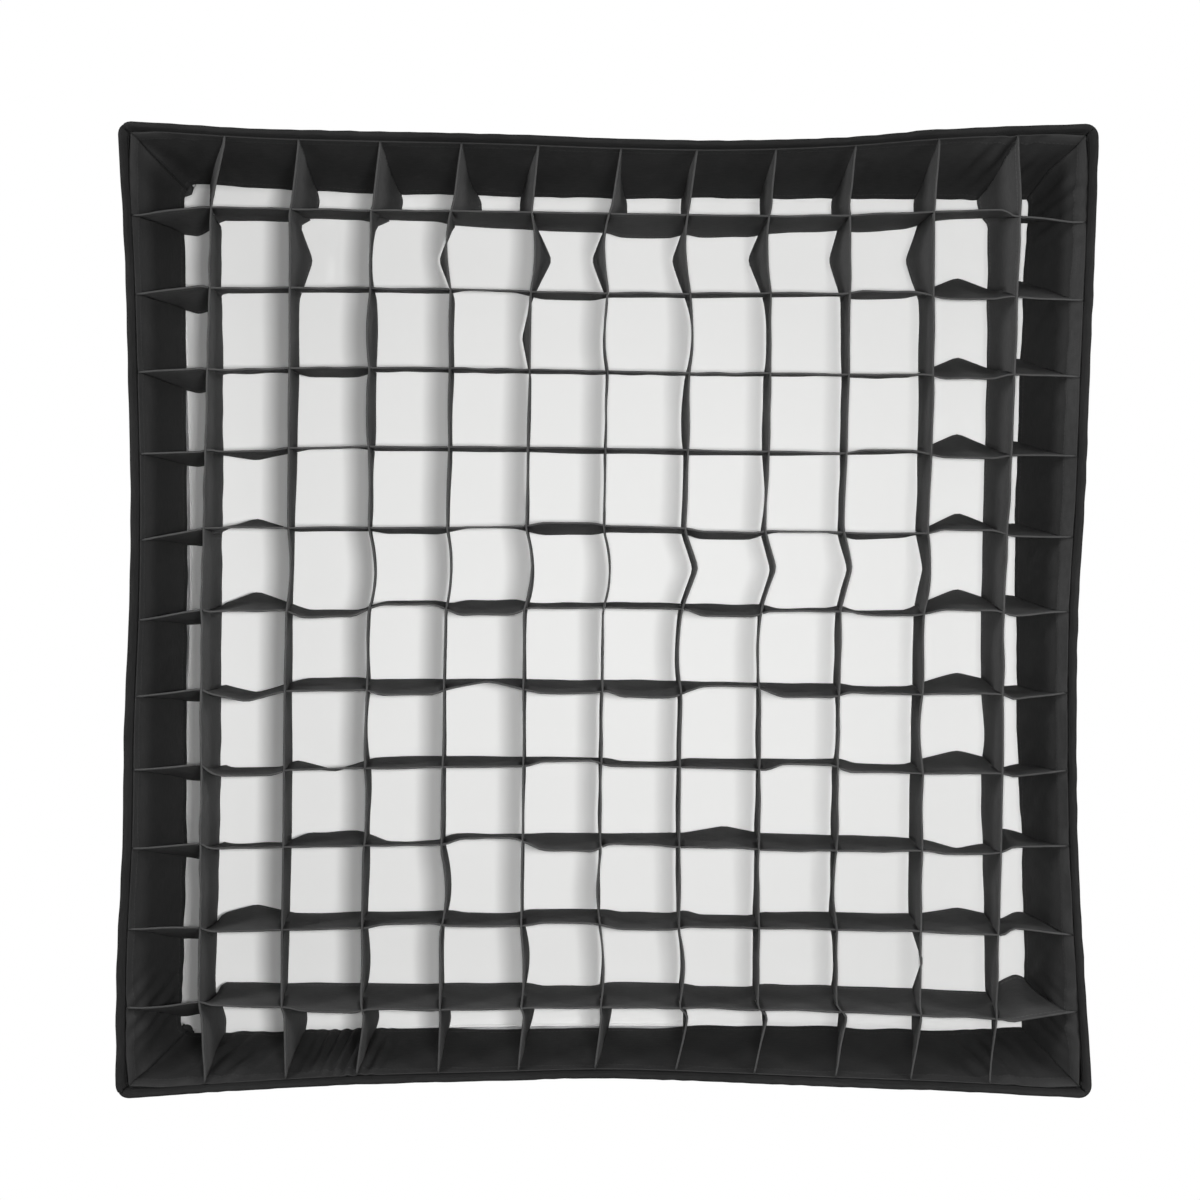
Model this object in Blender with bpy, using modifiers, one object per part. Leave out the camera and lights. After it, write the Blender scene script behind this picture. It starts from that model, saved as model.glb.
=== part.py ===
"""Square studio softbox with a fabric egg-crate grid, modelled piece by piece, in metres.

The front faces -Y and the lamp head is on the +Y side. The origin is the centre of the
bayonet insert's rear face, which seats on the lamp head.
"""

import math

import bmesh
import bpy
import numpy as np
from mathutils import Matrix, Vector

OBJECT_NAME = "softbox"

# Shell: a square cloth pyramid, drawn tight over four bent rods
FRONT_Y = -0.390
REAR_Y = -0.034
FRONT_HALF = 0.3035
REAR_HALF = 0.090
FRONT_SLOPE = 0.45
CORNER_R = 0.007
FRONT_SAG = 0.010
REAR_SAG = 0.001
CLOTH = 0.0008
SEAM_DEG = 43.0
PANEL_SHARES = (-0.72, -0.36, 0.0, 0.36, 0.72)
PANEL_DEPTHS = (0.028, 0.066, 0.128, 0.195, 0.265, 0.335)

# Edge tapes: folded over the cloth's front and rear edges
TAPE = 0.0008
TAPE_GAP = 0.0003
TAPE_WIDTH = 0.009
EDGE_BACK = TAPE + TAPE_GAP
LOOP_TAPE_DEPTHS = (0.0106, 0.0250)
LOOP_TAPE_INSETS = (0.0012, 0.0022)

# Rods, their tips and the corner pockets that hold the tips
ROD_R = 0.0020
ROD_FRONT_DEPTH = 0.031
ROD_REAR_Y = -0.0125
ROD_POINTS = 10
TIP_R = 0.0033
TIP_BORE_R = 0.0024
TIP_LENGTH = 0.020
TIP_FLOOR = 0.003
POCKET_R = 0.0046
POCKET_BORE_R = 0.0037
POCKET_LENGTH = 0.040
POCKET_FLOOR = 0.001
POCKET_LEAD = 0.0015

# Grid: 12 x 12 cells made by 11 columns and 11 rows that slot into each other
PITCH = 0.050
STRIPS = 11
STRIP_DEPTH = 0.045
GRID_DEPTH = 0.003
SLOT = 0.0022
COLUMN_SLOT_FROM = 0.48
ROW_SLOT_TO = 0.52
END_GAP = 0.0011
SMALLEST_FOLD_MM = 2
KNOT_SHARE = 0.33
ROW_TIP_UP_MM = 4.3
ROW_DROP_MM = 1.5

# Border band of the grid, four mitred panels
BORDER_FRONT_DEPTH = 0.004
BORDER_BACK_DEPTH = 0.0475
BORDER_FRONT_HALF = 0.2945
BORDER_BACK_HALF = 0.2685
BORDER_FRONT_SAG = 0.0065
BORDER_BACK_SAG = 0.0003
BORDER_WAVE = 0.0010
MITRE_GAP = 0.0022

# Diffuser and inner baffle
DIFFUSER_DEPTH = 0.0515
DIFFUSER = 0.0005
DIFFUSER_INSET = 0.002
DIFFUSER_CORNER_R = 0.036
SKIRT_DEPTHS = (0.0525, 0.0725)
SKIRT = 0.0008
BAFFLE_Y = -0.200
BAFFLE_HALF = 0.150
BAFFLE_CORNER_R = 0.010
BAFFLE = 0.0006
STRAP = 0.0010
STRAP_WIDTH = 0.008
STRAP_EYE_R = 0.0048
STRAP_HOLE_R = 0.0034
STRAP_GAP = 0.0005

# Speed ring, with four angled sockets for the rods
RING_FLANGE_R = 0.086
RING_COLLAR_R = 0.079
RING_BORE_R = 0.0700
RING_REAR_Y = -0.0040
RING_STEP_Y = -0.0200
RING_FRONT_Y = -0.0340
RING_CHAMFER = 0.0012
EAR_ROOT_R = 0.078
EAR_TIP_R = 0.0985
EAR_ROOT_HALF = 0.021
EAR_TIP_HALF = 0.0105
EAR_Y = (-0.0195, -0.0062)
SOCKET_R = 0.0070
SOCKET_Y = (-0.0265, -0.0095)
SOCKET_BORE_R = 0.0024

# Bayonet insert: the ring turns on it, and its three lugs hold on to the lamp head
INSERT_R = 0.0696
INSERT_BORE_R = 0.0660
INSERT_FLANGE_R = 0.080
INSERT_FLANGE = 0.0037
INSERT_FRONT_Y = -0.0390
GROOVE_R = 0.0675
GROOVE_Y = (-0.0365, -0.0345)
THROAT_R = 0.0445
THROAT_OUTER_R = 0.0480
THROAT_REAR_Y = 0.0090
LUG_R = 0.0530
LUG_DEG = 36.0
LUG_THICKNESS = 0.0025
LUG_ROOT_R = 0.0465
SNAP_RING_R = (0.0680, 0.0735)
SNAP_RING_Y = (-0.0362, -0.0348)
SNAP_RING_GAP_DEG = 24.0

# Lock screw of the speed ring, on +X
LOCK_Y = -0.0120
LOCK_HOLE_R = 0.0028
SHANK_R = 0.0025
SHANK_FROM = 0.0699
SHANK_TO = 0.0995
KNOB_FROM = 0.0890
KNOB_TO = 0.1030
KNOB_R = 0.0080
KNOB_LOBES = 6
KNOB_LOBE = 0.0009
KNOB_BORE_R = 0.0028
KNOB_BORE_TO = 0.0999

# Fold chart of the grid in millimetres, read by hand from the photograph. A column's fold
# bulges to the right and a row's fold upwards; minus is left or down. One line for each
# strip, cells in order from the top of a column or from the left of a row.
COLUMN_FRONT_FOLDS = (
    (0, 0, 0, 0, 0, 0, 0, 0, 0, 0),
    (0, 0, 0, 0, 3, 0, 0, -2, 0, 0),
    (-2, -2, 0, 0, 4, 0, 0, 0, 0, 0),
    (-1, 0, 0, -2, 4, 0, 0, 0, 0, -2),
    (0, 0, -1, 0, 3, 0, 0, 0, 0, 0),
    (-1, -3, 0, -1, 5, 0, 1, 0, 0, 2),
    (-2, 1, 0, 0, 6, 0, 0, 0, 0, 2),
    (-1, 0, 0, 0, 6, 0, 1, 0, 0, 0),
    (-1, 0, 0, 0, 6, 0, 0, 0, 0, 0),
    (0, 0, 0, 0, 2, 0, 0, 0, 0, 0),
    (0, 0, 0, 0, 0, 0, 0, 0, 0, 0),
)
COLUMN_BACK_FOLDS = (
    (0, 0, 0, 0, 1, 0, 0, 0, 0, -1),
    (10, -1, 0, 0, 2, 0, 0, 1, 0, 1),
    (-2, 0, -1, 0, 4, 0, 1, 4, 3, 2),
    (-5, 0, 0, -1, 4, 0, 1, 0, 5, 0),
    (8, -6, -1, -1, 4, 0, 0, 1, 0, 4),
    (-8, -3, 0, -1, 5, 1, 1, 0, 0, 2),
    (-13, 0, 0, -1, 6, 0, 3, 0, 0, 2),
    (-13, -3, 0, -2, 6, 0, 2, -1, 0, -3),
    (-9, -2, -1, 0, 6, 0, 2, -2, -1, -2),
    (-8, 0, 0, 0, 5, 0, 0, -1, 0, 4),
    (1, 0, 0, 0, 1, 1, 1, -1, -1, 1),
)
COLUMN_FRONT_ENDS = (
    (0, 0), (0, 0), (2, -1), (4, -2), (1, -3), (5, -5), (-1, -7), (-2, -5), (-2, -6), (-1, -6), (0, -4),
)
COLUMN_BACK_ENDS = (
    (-6, 6), (9, 9), (14, 5), (15, 4), (-10, 5), (-3, 7), (-2, 5), (-3, 7), (-5, 8), (-6, 0), (-9, 0),
)
COLUMN_LEAN_MM = (3.5, 2, 3, 3.5, 3.5, 3.5, 4, 4, 3.5, 4.5, 7)
COLUMN_TIP_MM = (2, -2, 0, 0, 0, 0, 0, 0, 1, -1, -8)
ROW_FRONT_FOLDS = (
    (1, 0, 0, 0, -2, 0, 0, 0, 0, 0),
    (1, 1, 0, 0, -1, 0, 0, 0, 0, 0),
    (1, -1, 0, -1, 0, 0, -1, 0, 0, 0),
    (-1, 0, 0, 0, 0, 0, 0, -1, 0, 0),
    (0, -1, -1, 0, -1, 0, -2, 2, -2, 1),
    (0, -4, 0, -6, 0, 0, -4, 0, -1, 1),
    (-5, 0, -2, 4, -4, -4, 5, -4, 0, 0),
    (-3, 0, 1, -3, 4, -1, -1, 3, -1, 0),
    (-1, -1, 0, 5, -5, 0, 0, 0, 0, -2),
    (0, 0, 0, 0, 1, -1, 3, 0, 0, 2),
    (0, 0, 0, 0, 0, 0, -1, 0, 0, 0),
)
ROW_BACK_FOLDS = (
    (0, 0, 0, -3, -3, -3, 0, 0, 2, 3),
    (0, 0, 0, 0, -3, -1, 0, 1, 2, 10),
    (0, -4, 0, -1, -1, 0, -1, 0, 1, 10),
    (-5, 0, 0, 3, 0, 0, 0, -1, 1, 10),
    (6, 0, 0, 1, 3, 1, -1, 2, -1, 9),
    (7, -3, 0, 1, -1, 0, 1, 0, 0, 11),
    (-5, 3, 0, 1, -1, 1, 2, 0, 0, 8),
    (-5, -8, 1, -2, -3, -2, 0, 0, 0, 8),
    (-4, 4, -5, -4, -1, 1, 6, 1, 1, -2),
    (7, 1, 1, -2, 1, 0, -3, -2, 0, 5),
    (-1, -2, 1, 1, -2, 1, -2, 0, -2, -1),
)
ROW_BACK_ENDS = (
    (-6, 0), (-14, 4), (-12, 4), (-9, 4), (-10, 2), (-11, 8), (-9, 3), (-12, 3), (-11, 6), (-9, 8), (-12, 8),
)
ROW_TIP_MM = (-7, 0, 0, 0, 0, 0, 0, 0, 0, 0, 1)

MM = 0.001
HALF_SPAN = PITCH * (STRIPS - 1) / 2
SHELL_LENGTH = REAR_Y - FRONT_Y
REAR_SLOPE = FRONT_SLOPE + 2 * (FRONT_HALF - REAR_HALF - FRONT_SLOPE * SHELL_LENGTH) / SHELL_LENGTH
SIDES = ("top", "right", "bottom", "left")
CORNERS = {"top_right": (1, 1), "bottom_right": (1, -1), "bottom_left": (-1, -1), "top_left": (-1, 1)}
TO_Y_AXIS = Matrix.Rotation(-math.pi / 2, 4, "X")
TO_X_AXIS = Matrix.Rotation(math.pi / 2, 4, "Y")


# Scene helpers


def clear_scene():
    for item in list(bpy.data.objects):
        bpy.data.objects.remove(item, do_unlink=True)


def new_collection(name):
    collection = bpy.data.collections.new(name)
    bpy.context.scene.collection.children.link(collection)
    return collection


def new_material(name, colour, roughness, metallic=0.0):
    material = bpy.data.materials.new(name)
    material.use_nodes = True
    shader = material.node_tree.nodes["Principled BSDF"]
    shader.inputs["Base Color"].default_value = (*colour, 1.0)
    shader.inputs["Roughness"].default_value = roughness
    shader.inputs["Metallic"].default_value = metallic
    return material


def new_axis(name, place=(0, 0, 0)):
    """An empty on a joint's axis, which the pieces of one moving body hang from."""
    axis = bpy.data.objects.new(name, None)
    axis.empty_display_size = 0.03
    axis.location = place
    parts.objects.link(axis)
    return axis


def new_object(name, mesh, material, axis, matrix=None):
    """A piece of the softbox, or a cutter where the axis is None."""
    item = bpy.data.objects.new(name, mesh)
    if axis is None:
        cutters.objects.link(item)
        item.hide_render = True
        item.display_type = "WIRE"
    else:
        parts.objects.link(item)
        mesh.materials.append(material)
        item.parent = axis
    item.matrix_basis = matrix or Matrix()
    return item


def mesh_of(shape, name):
    mesh = bpy.data.meshes.new(name)
    shape.to_mesh(mesh)
    shape.free()
    return mesh


def boolean(item, tool, operation):
    cut = item.modifiers.new(tool.name, "BOOLEAN")
    cut.object = tool
    cut.operation = operation
    cut.solver = "EXACT"


# Shape helpers


def grid_mesh(name, columns, rows, place, skip=None):
    """A grid whose corner (i, j) goes to place(i, j); skip(i, j) leaves that cell open."""
    shape = bmesh.new()
    bmesh.ops.create_grid(shape, x_segments=columns, y_segments=rows, size=1.0)
    index = {
        vert: (round((vert.co.x + 1) / 2 * columns), round((vert.co.y + 1) / 2 * rows))
        for vert in shape.verts
    }
    if skip:
        lowest = {face: min(index[vert] for vert in face.verts) for face in shape.faces}
        open_cells = [face for face, cell in lowest.items() if skip(*cell)]
        bmesh.ops.delete(shape, geom=open_cells, context="FACES")
    for vert in shape.verts:
        vert.co = place(*index[vert])
    bmesh.ops.remove_doubles(shape, verts=shape.verts, dist=1e-6)
    bmesh.ops.recalc_face_normals(shape, faces=shape.faces)
    return mesh_of(shape, name)


def cloth(name, columns, rows, place, material, axis, thickness=CLOTH, skip=None):
    """A cloth panel: an open grid with a thickness."""
    item = new_object(name, grid_mesh(name, columns, rows, place, skip), material, axis)
    item.data.shade_smooth()
    wall = item.modifiers.new("thickness", "SOLIDIFY")
    wall.thickness = thickness
    wall.offset = 0.0
    return item


def turned(name, profile, steps, material, axis, matrix, closed=True):
    """A turned piece; the profile of (radius, height) runs down its outer side first."""
    shape = bmesh.new()
    verts = [shape.verts.new((radius, 0, height)) for radius, height in profile]
    pairs = list(zip(verts, verts[1:]))
    if closed:
        pairs.append((verts[-1], verts[0]))
    for pair in pairs:
        shape.edges.new(pair)
    item = new_object(name, mesh_of(shape, name), material, axis, matrix)
    screw = item.modifiers.new("turn", "SCREW")
    screw.axis = "Z"
    screw.steps = steps
    screw.render_steps = steps
    screw.use_merge_vertices = True
    screw.merge_threshold = 0.00001
    screw.use_smooth_shade = True
    return item


def plate(name, outlines, thickness, material, axis, matrix):
    """A flat outline, with any holes, extruded along its own Z axis and made a mesh."""
    curve = bpy.data.curves.new(name, "CURVE")
    curve.dimensions = "2D"
    curve.fill_mode = "BOTH"
    curve.extrude = thickness / 2
    for outline in outlines:
        spline = curve.splines.new("POLY")
        spline.points.add(len(outline) - 1)
        for point, (x, y) in zip(spline.points, outline):
            point.co = (x, y, 0, 1)
        spline.use_cyclic_u = True
    guide = bpy.data.objects.new(name + "_outline", curve)
    cutters.objects.link(guide)
    bpy.context.view_layer.update()
    graph = bpy.context.evaluated_depsgraph_get()
    mesh = bpy.data.meshes.new_from_object(guide.evaluated_get(graph))
    bpy.data.objects.remove(guide, do_unlink=True)
    shape = bmesh.new()
    shape.from_mesh(mesh)
    bmesh.ops.remove_doubles(shape, verts=shape.verts, dist=1e-6)
    bpy.data.meshes.remove(mesh)
    return new_object(name, mesh_of(shape, name), material, axis, matrix)


def cylinder(name, radius, start, end, sides):
    """A round cutter or boss between two points."""
    shape = bmesh.new()
    along = Vector(end) - Vector(start)
    middle = (Vector(start) + Vector(end)) / 2
    turn = along.to_track_quat("Z", "Y").to_matrix().to_4x4()
    bmesh.ops.create_cone(
        shape,
        cap_ends=True,
        segments=sides,
        radius1=radius,
        radius2=radius,
        depth=along.length,
        matrix=Matrix.Translation(middle) @ turn,
    )
    return new_object(name, mesh_of(shape, name), None, None)


def arc(radius, start_deg, end_deg, count, centre=(0, 0)):
    angles = np.radians(np.linspace(start_deg, end_deg, count))
    return [(centre[0] + radius * math.cos(a), centre[1] + radius * math.sin(a)) for a in angles]


def blend(start, end, share):
    return start + (end - start) * share


# Outline of the shell


def shell_half(depth):
    """Half the shell's outer width at its corners, at a depth behind the front edge."""
    bend = (REAR_SLOPE - FRONT_SLOPE) / (2 * SHELL_LENGTH)
    return FRONT_HALF - FRONT_SLOPE * depth - bend * depth * depth


def shell_sag(depth):
    """How far the middle of a side is drawn in between two rods."""
    return blend(FRONT_SAG, REAR_SAG, depth / SHELL_LENGTH)


def turn_to_side(side, along, out, y):
    """World point of a place on one of the four sides, given along the side and outwards."""
    for _ in range(side):
        along, out = out, -along
    return Vector((along, y, out))


def outline_point(side, station, depth, inset, corner_r=CORNER_R, half_inset=0.0):
    """Point on the shell's section; a station is a share of the side and an angle at its corner."""
    share, angle = station
    half = shell_half(depth) - half_inset
    radius = corner_r - inset
    angle = math.radians(angle)
    along = share * (half - corner_r)
    drawn_in = 1 - (along / (shell_half(depth) - CORNER_R)) ** 2
    along += math.copysign(radius * math.sin(angle), share)
    out = half - corner_r + radius * math.cos(angle) - shell_sag(depth) * drawn_in
    return turn_to_side(side, along, out, FRONT_Y + depth)


def ring_stations(shares, before=(22.5,), after=(22.5, 45.0)):
    """Stations round the whole section; before and after are angles at a side's two corners."""
    one_side = [(-1, angle) for angle in before] + [(-1, 0)] + [(share, 0) for share in shares]
    one_side += [(1, 0)] + [(1, angle) for angle in after]
    return [(side, station) for side in range(len(SIDES)) for station in one_side]


def ring_band(name, stations, profile, material, axis, **outline):
    """A tape or band that runs round the section; the profile gives (inset, depth) corners."""

    def place(i, j):
        side, station = stations[i % len(stations)]
        inset, depth = profile[j % len(profile)]
        return outline_point(side, station, depth, inset, **outline)

    mesh = grid_mesh(name, len(stations), len(profile), place)
    return new_object(name, mesh, material, axis)


def folded_tape(edge, inward):
    """U profile of a tape folded over a cloth edge; inward is +1 towards the rear, -1 forwards."""
    out = TAPE_GAP + TAPE
    far = CLOTH + out
    tip = edge + inward * TAPE_WIDTH
    fold = edge - inward * TAPE_GAP
    back = edge - inward * out
    return [
        (-out, tip), (-out, back), (far, back), (far, tip),
        (CLOTH + TAPE_GAP, tip), (CLOTH + TAPE_GAP, fold), (-TAPE_GAP, fold), (-TAPE_GAP, tip),
    ]


# Shell, tapes and rods


def shell_panels():
    stations = [(-1, SEAM_DEG), (-1, 22.5), (-1, 0)] + [(share, 0) for share in PANEL_SHARES]
    stations += [(1, 0), (1, 22.5), (1, SEAM_DEG)]
    depths = [EDGE_BACK, *PANEL_DEPTHS, SHELL_LENGTH - EDGE_BACK]
    for side, name in enumerate(SIDES):

        def place(i, j):
            return outline_point(side, stations[i], depths[j], CLOTH / 2)

        cloth("shell_" + name, len(stations) - 1, len(depths) - 1, place, black_cloth, turn_axis)


def edge_tapes():
    front = folded_tape(EDGE_BACK, 1)
    rear = folded_tape(SHELL_LENGTH - EDGE_BACK, -1)
    stations = ring_stations(PANEL_SHARES)
    ring_band("front_binding", stations, front, black_tape, turn_axis)
    ring_band("rear_binding", stations, rear, black_tape, turn_axis)
    (near, far), (thin, thick) = LOOP_TAPE_DEPTHS, LOOP_TAPE_INSETS
    loop = [(thin, far), (thin, near), (thick, near), (thick, far)]
    ring_band("grid_loop_tape", stations, loop, black_tape, turn_axis)


def rod_point(corner, depth):
    """Point on a rod's axis, which runs along the centre of the shell's corner."""
    side_x, side_z = CORNERS[corner]
    reach = shell_half(depth) - CORNER_R
    return Vector((side_x * reach, FRONT_Y + depth, side_z * reach))


def rod_at_rear(corner, y):
    """Point on the straight rear end of a rod, which continues its tangent into the socket."""
    side_x, side_z = CORNERS[corner]
    reach = REAR_HALF - CORNER_R - REAR_SLOPE * (y - REAR_Y)
    return Vector((side_x * reach, y, side_z * reach))


def along_rod(corner, near, far):
    """Matrix whose origin is on a rod at the near depth and whose Z axis points to the far one."""
    start = rod_point(corner, near)
    turn = (rod_point(corner, far) - start).to_track_quat("Z", "Y").to_matrix().to_4x4()
    return Matrix.Translation(start) @ turn


def rods():
    for corner in CORNERS:
        depths = np.linspace(ROD_FRONT_DEPTH, SHELL_LENGTH, ROD_POINTS)
        route = [rod_point(corner, depth) for depth in depths] + [rod_at_rear(corner, ROD_REAR_Y)]
        curve = bpy.data.curves.new("rod_" + corner, "CURVE")
        curve.dimensions = "3D"
        curve.bevel_depth = ROD_R
        curve.bevel_resolution = 2
        curve.use_fill_caps = True
        spline = curve.splines.new("POLY")
        spline.points.add(len(route) - 1)
        for point, place in zip(spline.points, route):
            point.co = (*place, 1)
        new_object("rod_" + corner, curve, rod_steel, turn_axis)


def rod_tips():
    """Moulded caps, open at the rear, on the front ends of the rods."""
    rounding = 0.0012
    profile = [
        (0, TIP_FLOOR),
        (TIP_BORE_R, TIP_FLOOR),
        (TIP_BORE_R, TIP_LENGTH),
        (TIP_R, TIP_LENGTH),
        (TIP_R, rounding),
        (TIP_R - rounding, 0),
        (0, 0),
    ]
    near = ROD_FRONT_DEPTH - TIP_FLOOR
    for corner in CORNERS:
        matrix = along_rod(corner, near, near + TIP_LENGTH)
        turned("rod_tip_" + corner, profile, 10, tip_plastic, turn_axis, matrix, False)


def corner_pockets():
    """Sewn sleeves in the shell's front corners, closed at the front, that take the rod tips."""
    rounding = 0.0015
    profile = [
        (0, POCKET_FLOOR),
        (POCKET_BORE_R, POCKET_FLOOR),
        (POCKET_BORE_R, POCKET_LENGTH),
        (POCKET_R, POCKET_LENGTH),
        (POCKET_R, rounding),
        (POCKET_R - rounding, 0),
        (0, 0),
    ]
    near = ROD_FRONT_DEPTH - TIP_FLOOR - POCKET_LEAD
    for corner in CORNERS:
        matrix = along_rod(corner, near, near + POCKET_LENGTH)
        turned("corner_pocket_" + corner, profile, 10, black_cloth, turn_axis, matrix, False)


# Grid


def border_point(side, share, depth, wave=0.0):
    """Middle of the border band's cloth, at a share of the side and of the band's depth."""
    half = blend(BORDER_FRONT_HALF, BORDER_BACK_HALF, depth)
    sag = blend(BORDER_FRONT_SAG, BORDER_BACK_SAG, depth)
    out = half - sag * (1 - share * share) + wave * (1 - depth) ** 2
    y = FRONT_Y + blend(BORDER_FRONT_DEPTH, BORDER_BACK_DEPTH, depth)
    return turn_to_side(side, share * (half - MITRE_GAP), out, y)


def grid_border():
    steps = 10
    levels = (0.0, 0.4, 1.0)
    for side, name in enumerate(SIDES):

        def place(i, j):
            share = -1 + 2 * i / steps
            wave = BORDER_WAVE * (1 + math.sin(9 * share + 2 * side)) / 2
            return border_point(side, share, levels[j], wave)

        cloth("grid_border_" + name, steps, len(levels) - 1, place, black_cloth, grid_axis)


class Strip:
    """A column or a row of the grid: where its cloth lies, along its length and through its depth."""

    def __init__(self, number, vertical):
        i = number - 1
        self.vertical = vertical
        self.name = f"grid_{'column' if vertical else 'row'}_{number:02d}"
        crossings = [PITCH * k - HALF_SPAN for k in range(STRIPS)]
        self.crossings = crossings
        self.folds = [(a + b) / 2 for a, b in zip(crossings, crossings[1:])]
        if vertical:
            self.base, self.lean, tip = crossings[i], -COLUMN_LEAN_MM[i], COLUMN_TIP_MM[i]
            front, back = COLUMN_FRONT_FOLDS[i], COLUMN_BACK_FOLDS[i]
            front_ends, back_ends = COLUMN_FRONT_ENDS[i], COLUMN_BACK_ENDS[i]
        else:
            self.base, self.lean, tip = -crossings[i], -ROW_DROP_MM, ROW_TIP_UP_MM + ROW_TIP_MM[i]
            front, back = ROW_FRONT_FOLDS[i], ROW_BACK_FOLDS[i]
            front_ends, back_ends = (0, 0), ROW_BACK_ENDS[i]
        self.notable = [max(abs(a), abs(b)) >= SMALLEST_FOLD_MM for a, b in zip(front, back)]
        self.knots = [-BORDER_FRONT_HALF, crossings[0]]
        for fold, crossing in zip(self.folds, crossings[1:]):
            self.knots += [fold, crossing]
        self.knots.append(BORDER_FRONT_HALF)
        self.front = self.offsets(front, front_ends, -tip / 2)
        self.back = self.offsets(back, back_ends, tip / 2)

    def offsets(self, folds, ends, tip):
        """Sideways offsets in millimetres at the knots."""
        found = [ends[0], ends[0] * KNOT_SHARE]
        for fold in folds:
            found += [fold, 0]
        found[-1] = ends[1] * KNOT_SHARE
        found.append(ends[1])
        return [offset + tip for offset in found]

    def sideways(self, along, depth):
        """Where the middle of the cloth lies across the strip's run."""
        front = np.interp(along, self.knots, self.front)
        back = np.interp(along, self.knots, self.back)
        return self.base + MM * (blend(front, back, depth) + self.lean * along / HALF_SPAN)

    def end(self, sign, depth):
        """Where the strip stops, just inside the border band."""
        side = (0 if sign < 0 else 2) if self.vertical else (3 if sign < 0 else 1)
        across = self.sideways(sign * BORDER_BACK_HALF, depth)
        share = across / blend(BORDER_FRONT_HALF, BORDER_BACK_HALF, depth)
        reach = border_point(side, share, depth)
        return sign * (abs(reach.z if self.vertical else reach.x) - END_GAP)

    def point(self, along, depth):
        across = self.sideways(along, depth)
        y = FRONT_Y + GRID_DEPTH + depth * STRIP_DEPTH
        return Vector((across, y, -along) if self.vertical else (along, y, across))


def crossing_of(strip, other, k, depth):
    """Place along a strip where it meets the k-th strip of the other direction."""
    meeting = strip.sideways(strip.crossings[k], depth)
    across = other.sideways(-meeting if other.vertical else meeting, depth)
    return -across if strip.vertical else across


def strip_lines(strip, others, levels):
    """Cross lines of a strip, each with its place at every depth level, and which pairs are slots."""
    lines = [[strip.end(-1, depth) for depth in levels]]
    slots = []
    for k, other in enumerate(others):
        middle = [crossing_of(strip, other, k, depth) for depth in levels]
        slots.append(len(lines))
        lines.append([place - SLOT / 2 for place in middle])
        lines.append([place + SLOT / 2 for place in middle])
        if k < len(strip.folds) and strip.notable[k]:
            lines.append([strip.folds[k]] * len(levels))
    lines.append([strip.end(1, depth) for depth in levels])
    return lines, slots


def grid_strips():
    """Columns are slotted from the back to mid-depth, rows from the front, so they interlock."""
    columns = [Strip(k + 1, True) for k in range(STRIPS)]
    rows = [Strip(k + 1, False) for k in range(STRIPS)]
    for strips, others, middle, slot_half in (
        (columns, rows, COLUMN_SLOT_FROM, 1),
        (rows, columns, ROW_SLOT_TO, 0),
    ):
        levels = (0.0, middle, 1.0)
        for strip in strips:
            lines, slots = strip_lines(strip, others, levels)

            def place(i, j):
                return strip.point(lines[i][j], levels[j])

            def in_slot(i, j):
                return i in slots and j == slot_half

            cloth(strip.name, len(lines) - 1, 2, place, black_cloth, grid_axis, CLOTH, in_slot)


# Diffuser and baffle


def front_diffuser():
    """Diffuser sheet, and the skirt behind its edge that hooks on to the shell."""
    size = {"corner_r": DIFFUSER_CORNER_R, "half_inset": DIFFUSER_INSET}
    near, far = SKIRT_DEPTHS
    stations = ring_stations((-0.5, 0.0, 0.5), (30.0,), (30.0,))
    edge = [outline_point(side, station, near, 0.0, **size) for side, station in stations]
    outline = [(point.x, -point.z) for point in edge]
    matrix = Matrix.Translation((0, FRONT_Y + DIFFUSER_DEPTH, 0)) @ TO_Y_AXIS
    plate("front_diffuser", [outline], DIFFUSER, white_cloth, diffuser_axis, matrix)
    skirt = [(0.0, far), (0.0, near), (SKIRT, near), (SKIRT, far)]
    ring_band("diffuser_border", stations, skirt, white_cloth, diffuser_axis, **size)


def inner_baffle():
    middle = BAFFLE_HALF - BAFFLE_CORNER_R
    outline = []
    for quarter, (x, y) in enumerate(((1, 1), (-1, 1), (-1, -1), (1, -1))):
        centre = (x * middle, y * middle)
        outline += arc(BAFFLE_CORNER_R, 90 * quarter, 90 * quarter + 90, 4, centre)
    level = Matrix.Translation((0, BAFFLE_Y, 0)) @ TO_Y_AXIS
    plate("inner_baffle", [outline], BAFFLE, white_cloth, turn_axis, level)
    diagonal = math.sqrt(2)
    start = diagonal * middle + BAFFLE_CORNER_R + STRAP_GAP
    eye = diagonal * (shell_half(BAFFLE_Y - FRONT_Y) - CORNER_R)
    root_deg = math.degrees(math.asin(STRAP_WIDTH / 2 / STRAP_EYE_R))
    strap = [(start, -STRAP_WIDTH / 2)]
    strap += arc(STRAP_EYE_R, root_deg - 180, 180 - root_deg, 15, (eye, 0))
    strap.append((start, STRAP_WIDTH / 2))
    hole = arc(STRAP_HOLE_R, 0, 330, 12, (eye, 0))
    for corner, (side_x, side_z) in CORNERS.items():
        turn = Matrix.Rotation(math.atan2(-side_z, side_x), 4, "Z")
        plate("baffle_strap_" + corner, [strap, hole], STRAP, black_tape, turn_axis, level @ turn)


# Speed ring, bayonet insert and lock screw


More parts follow.
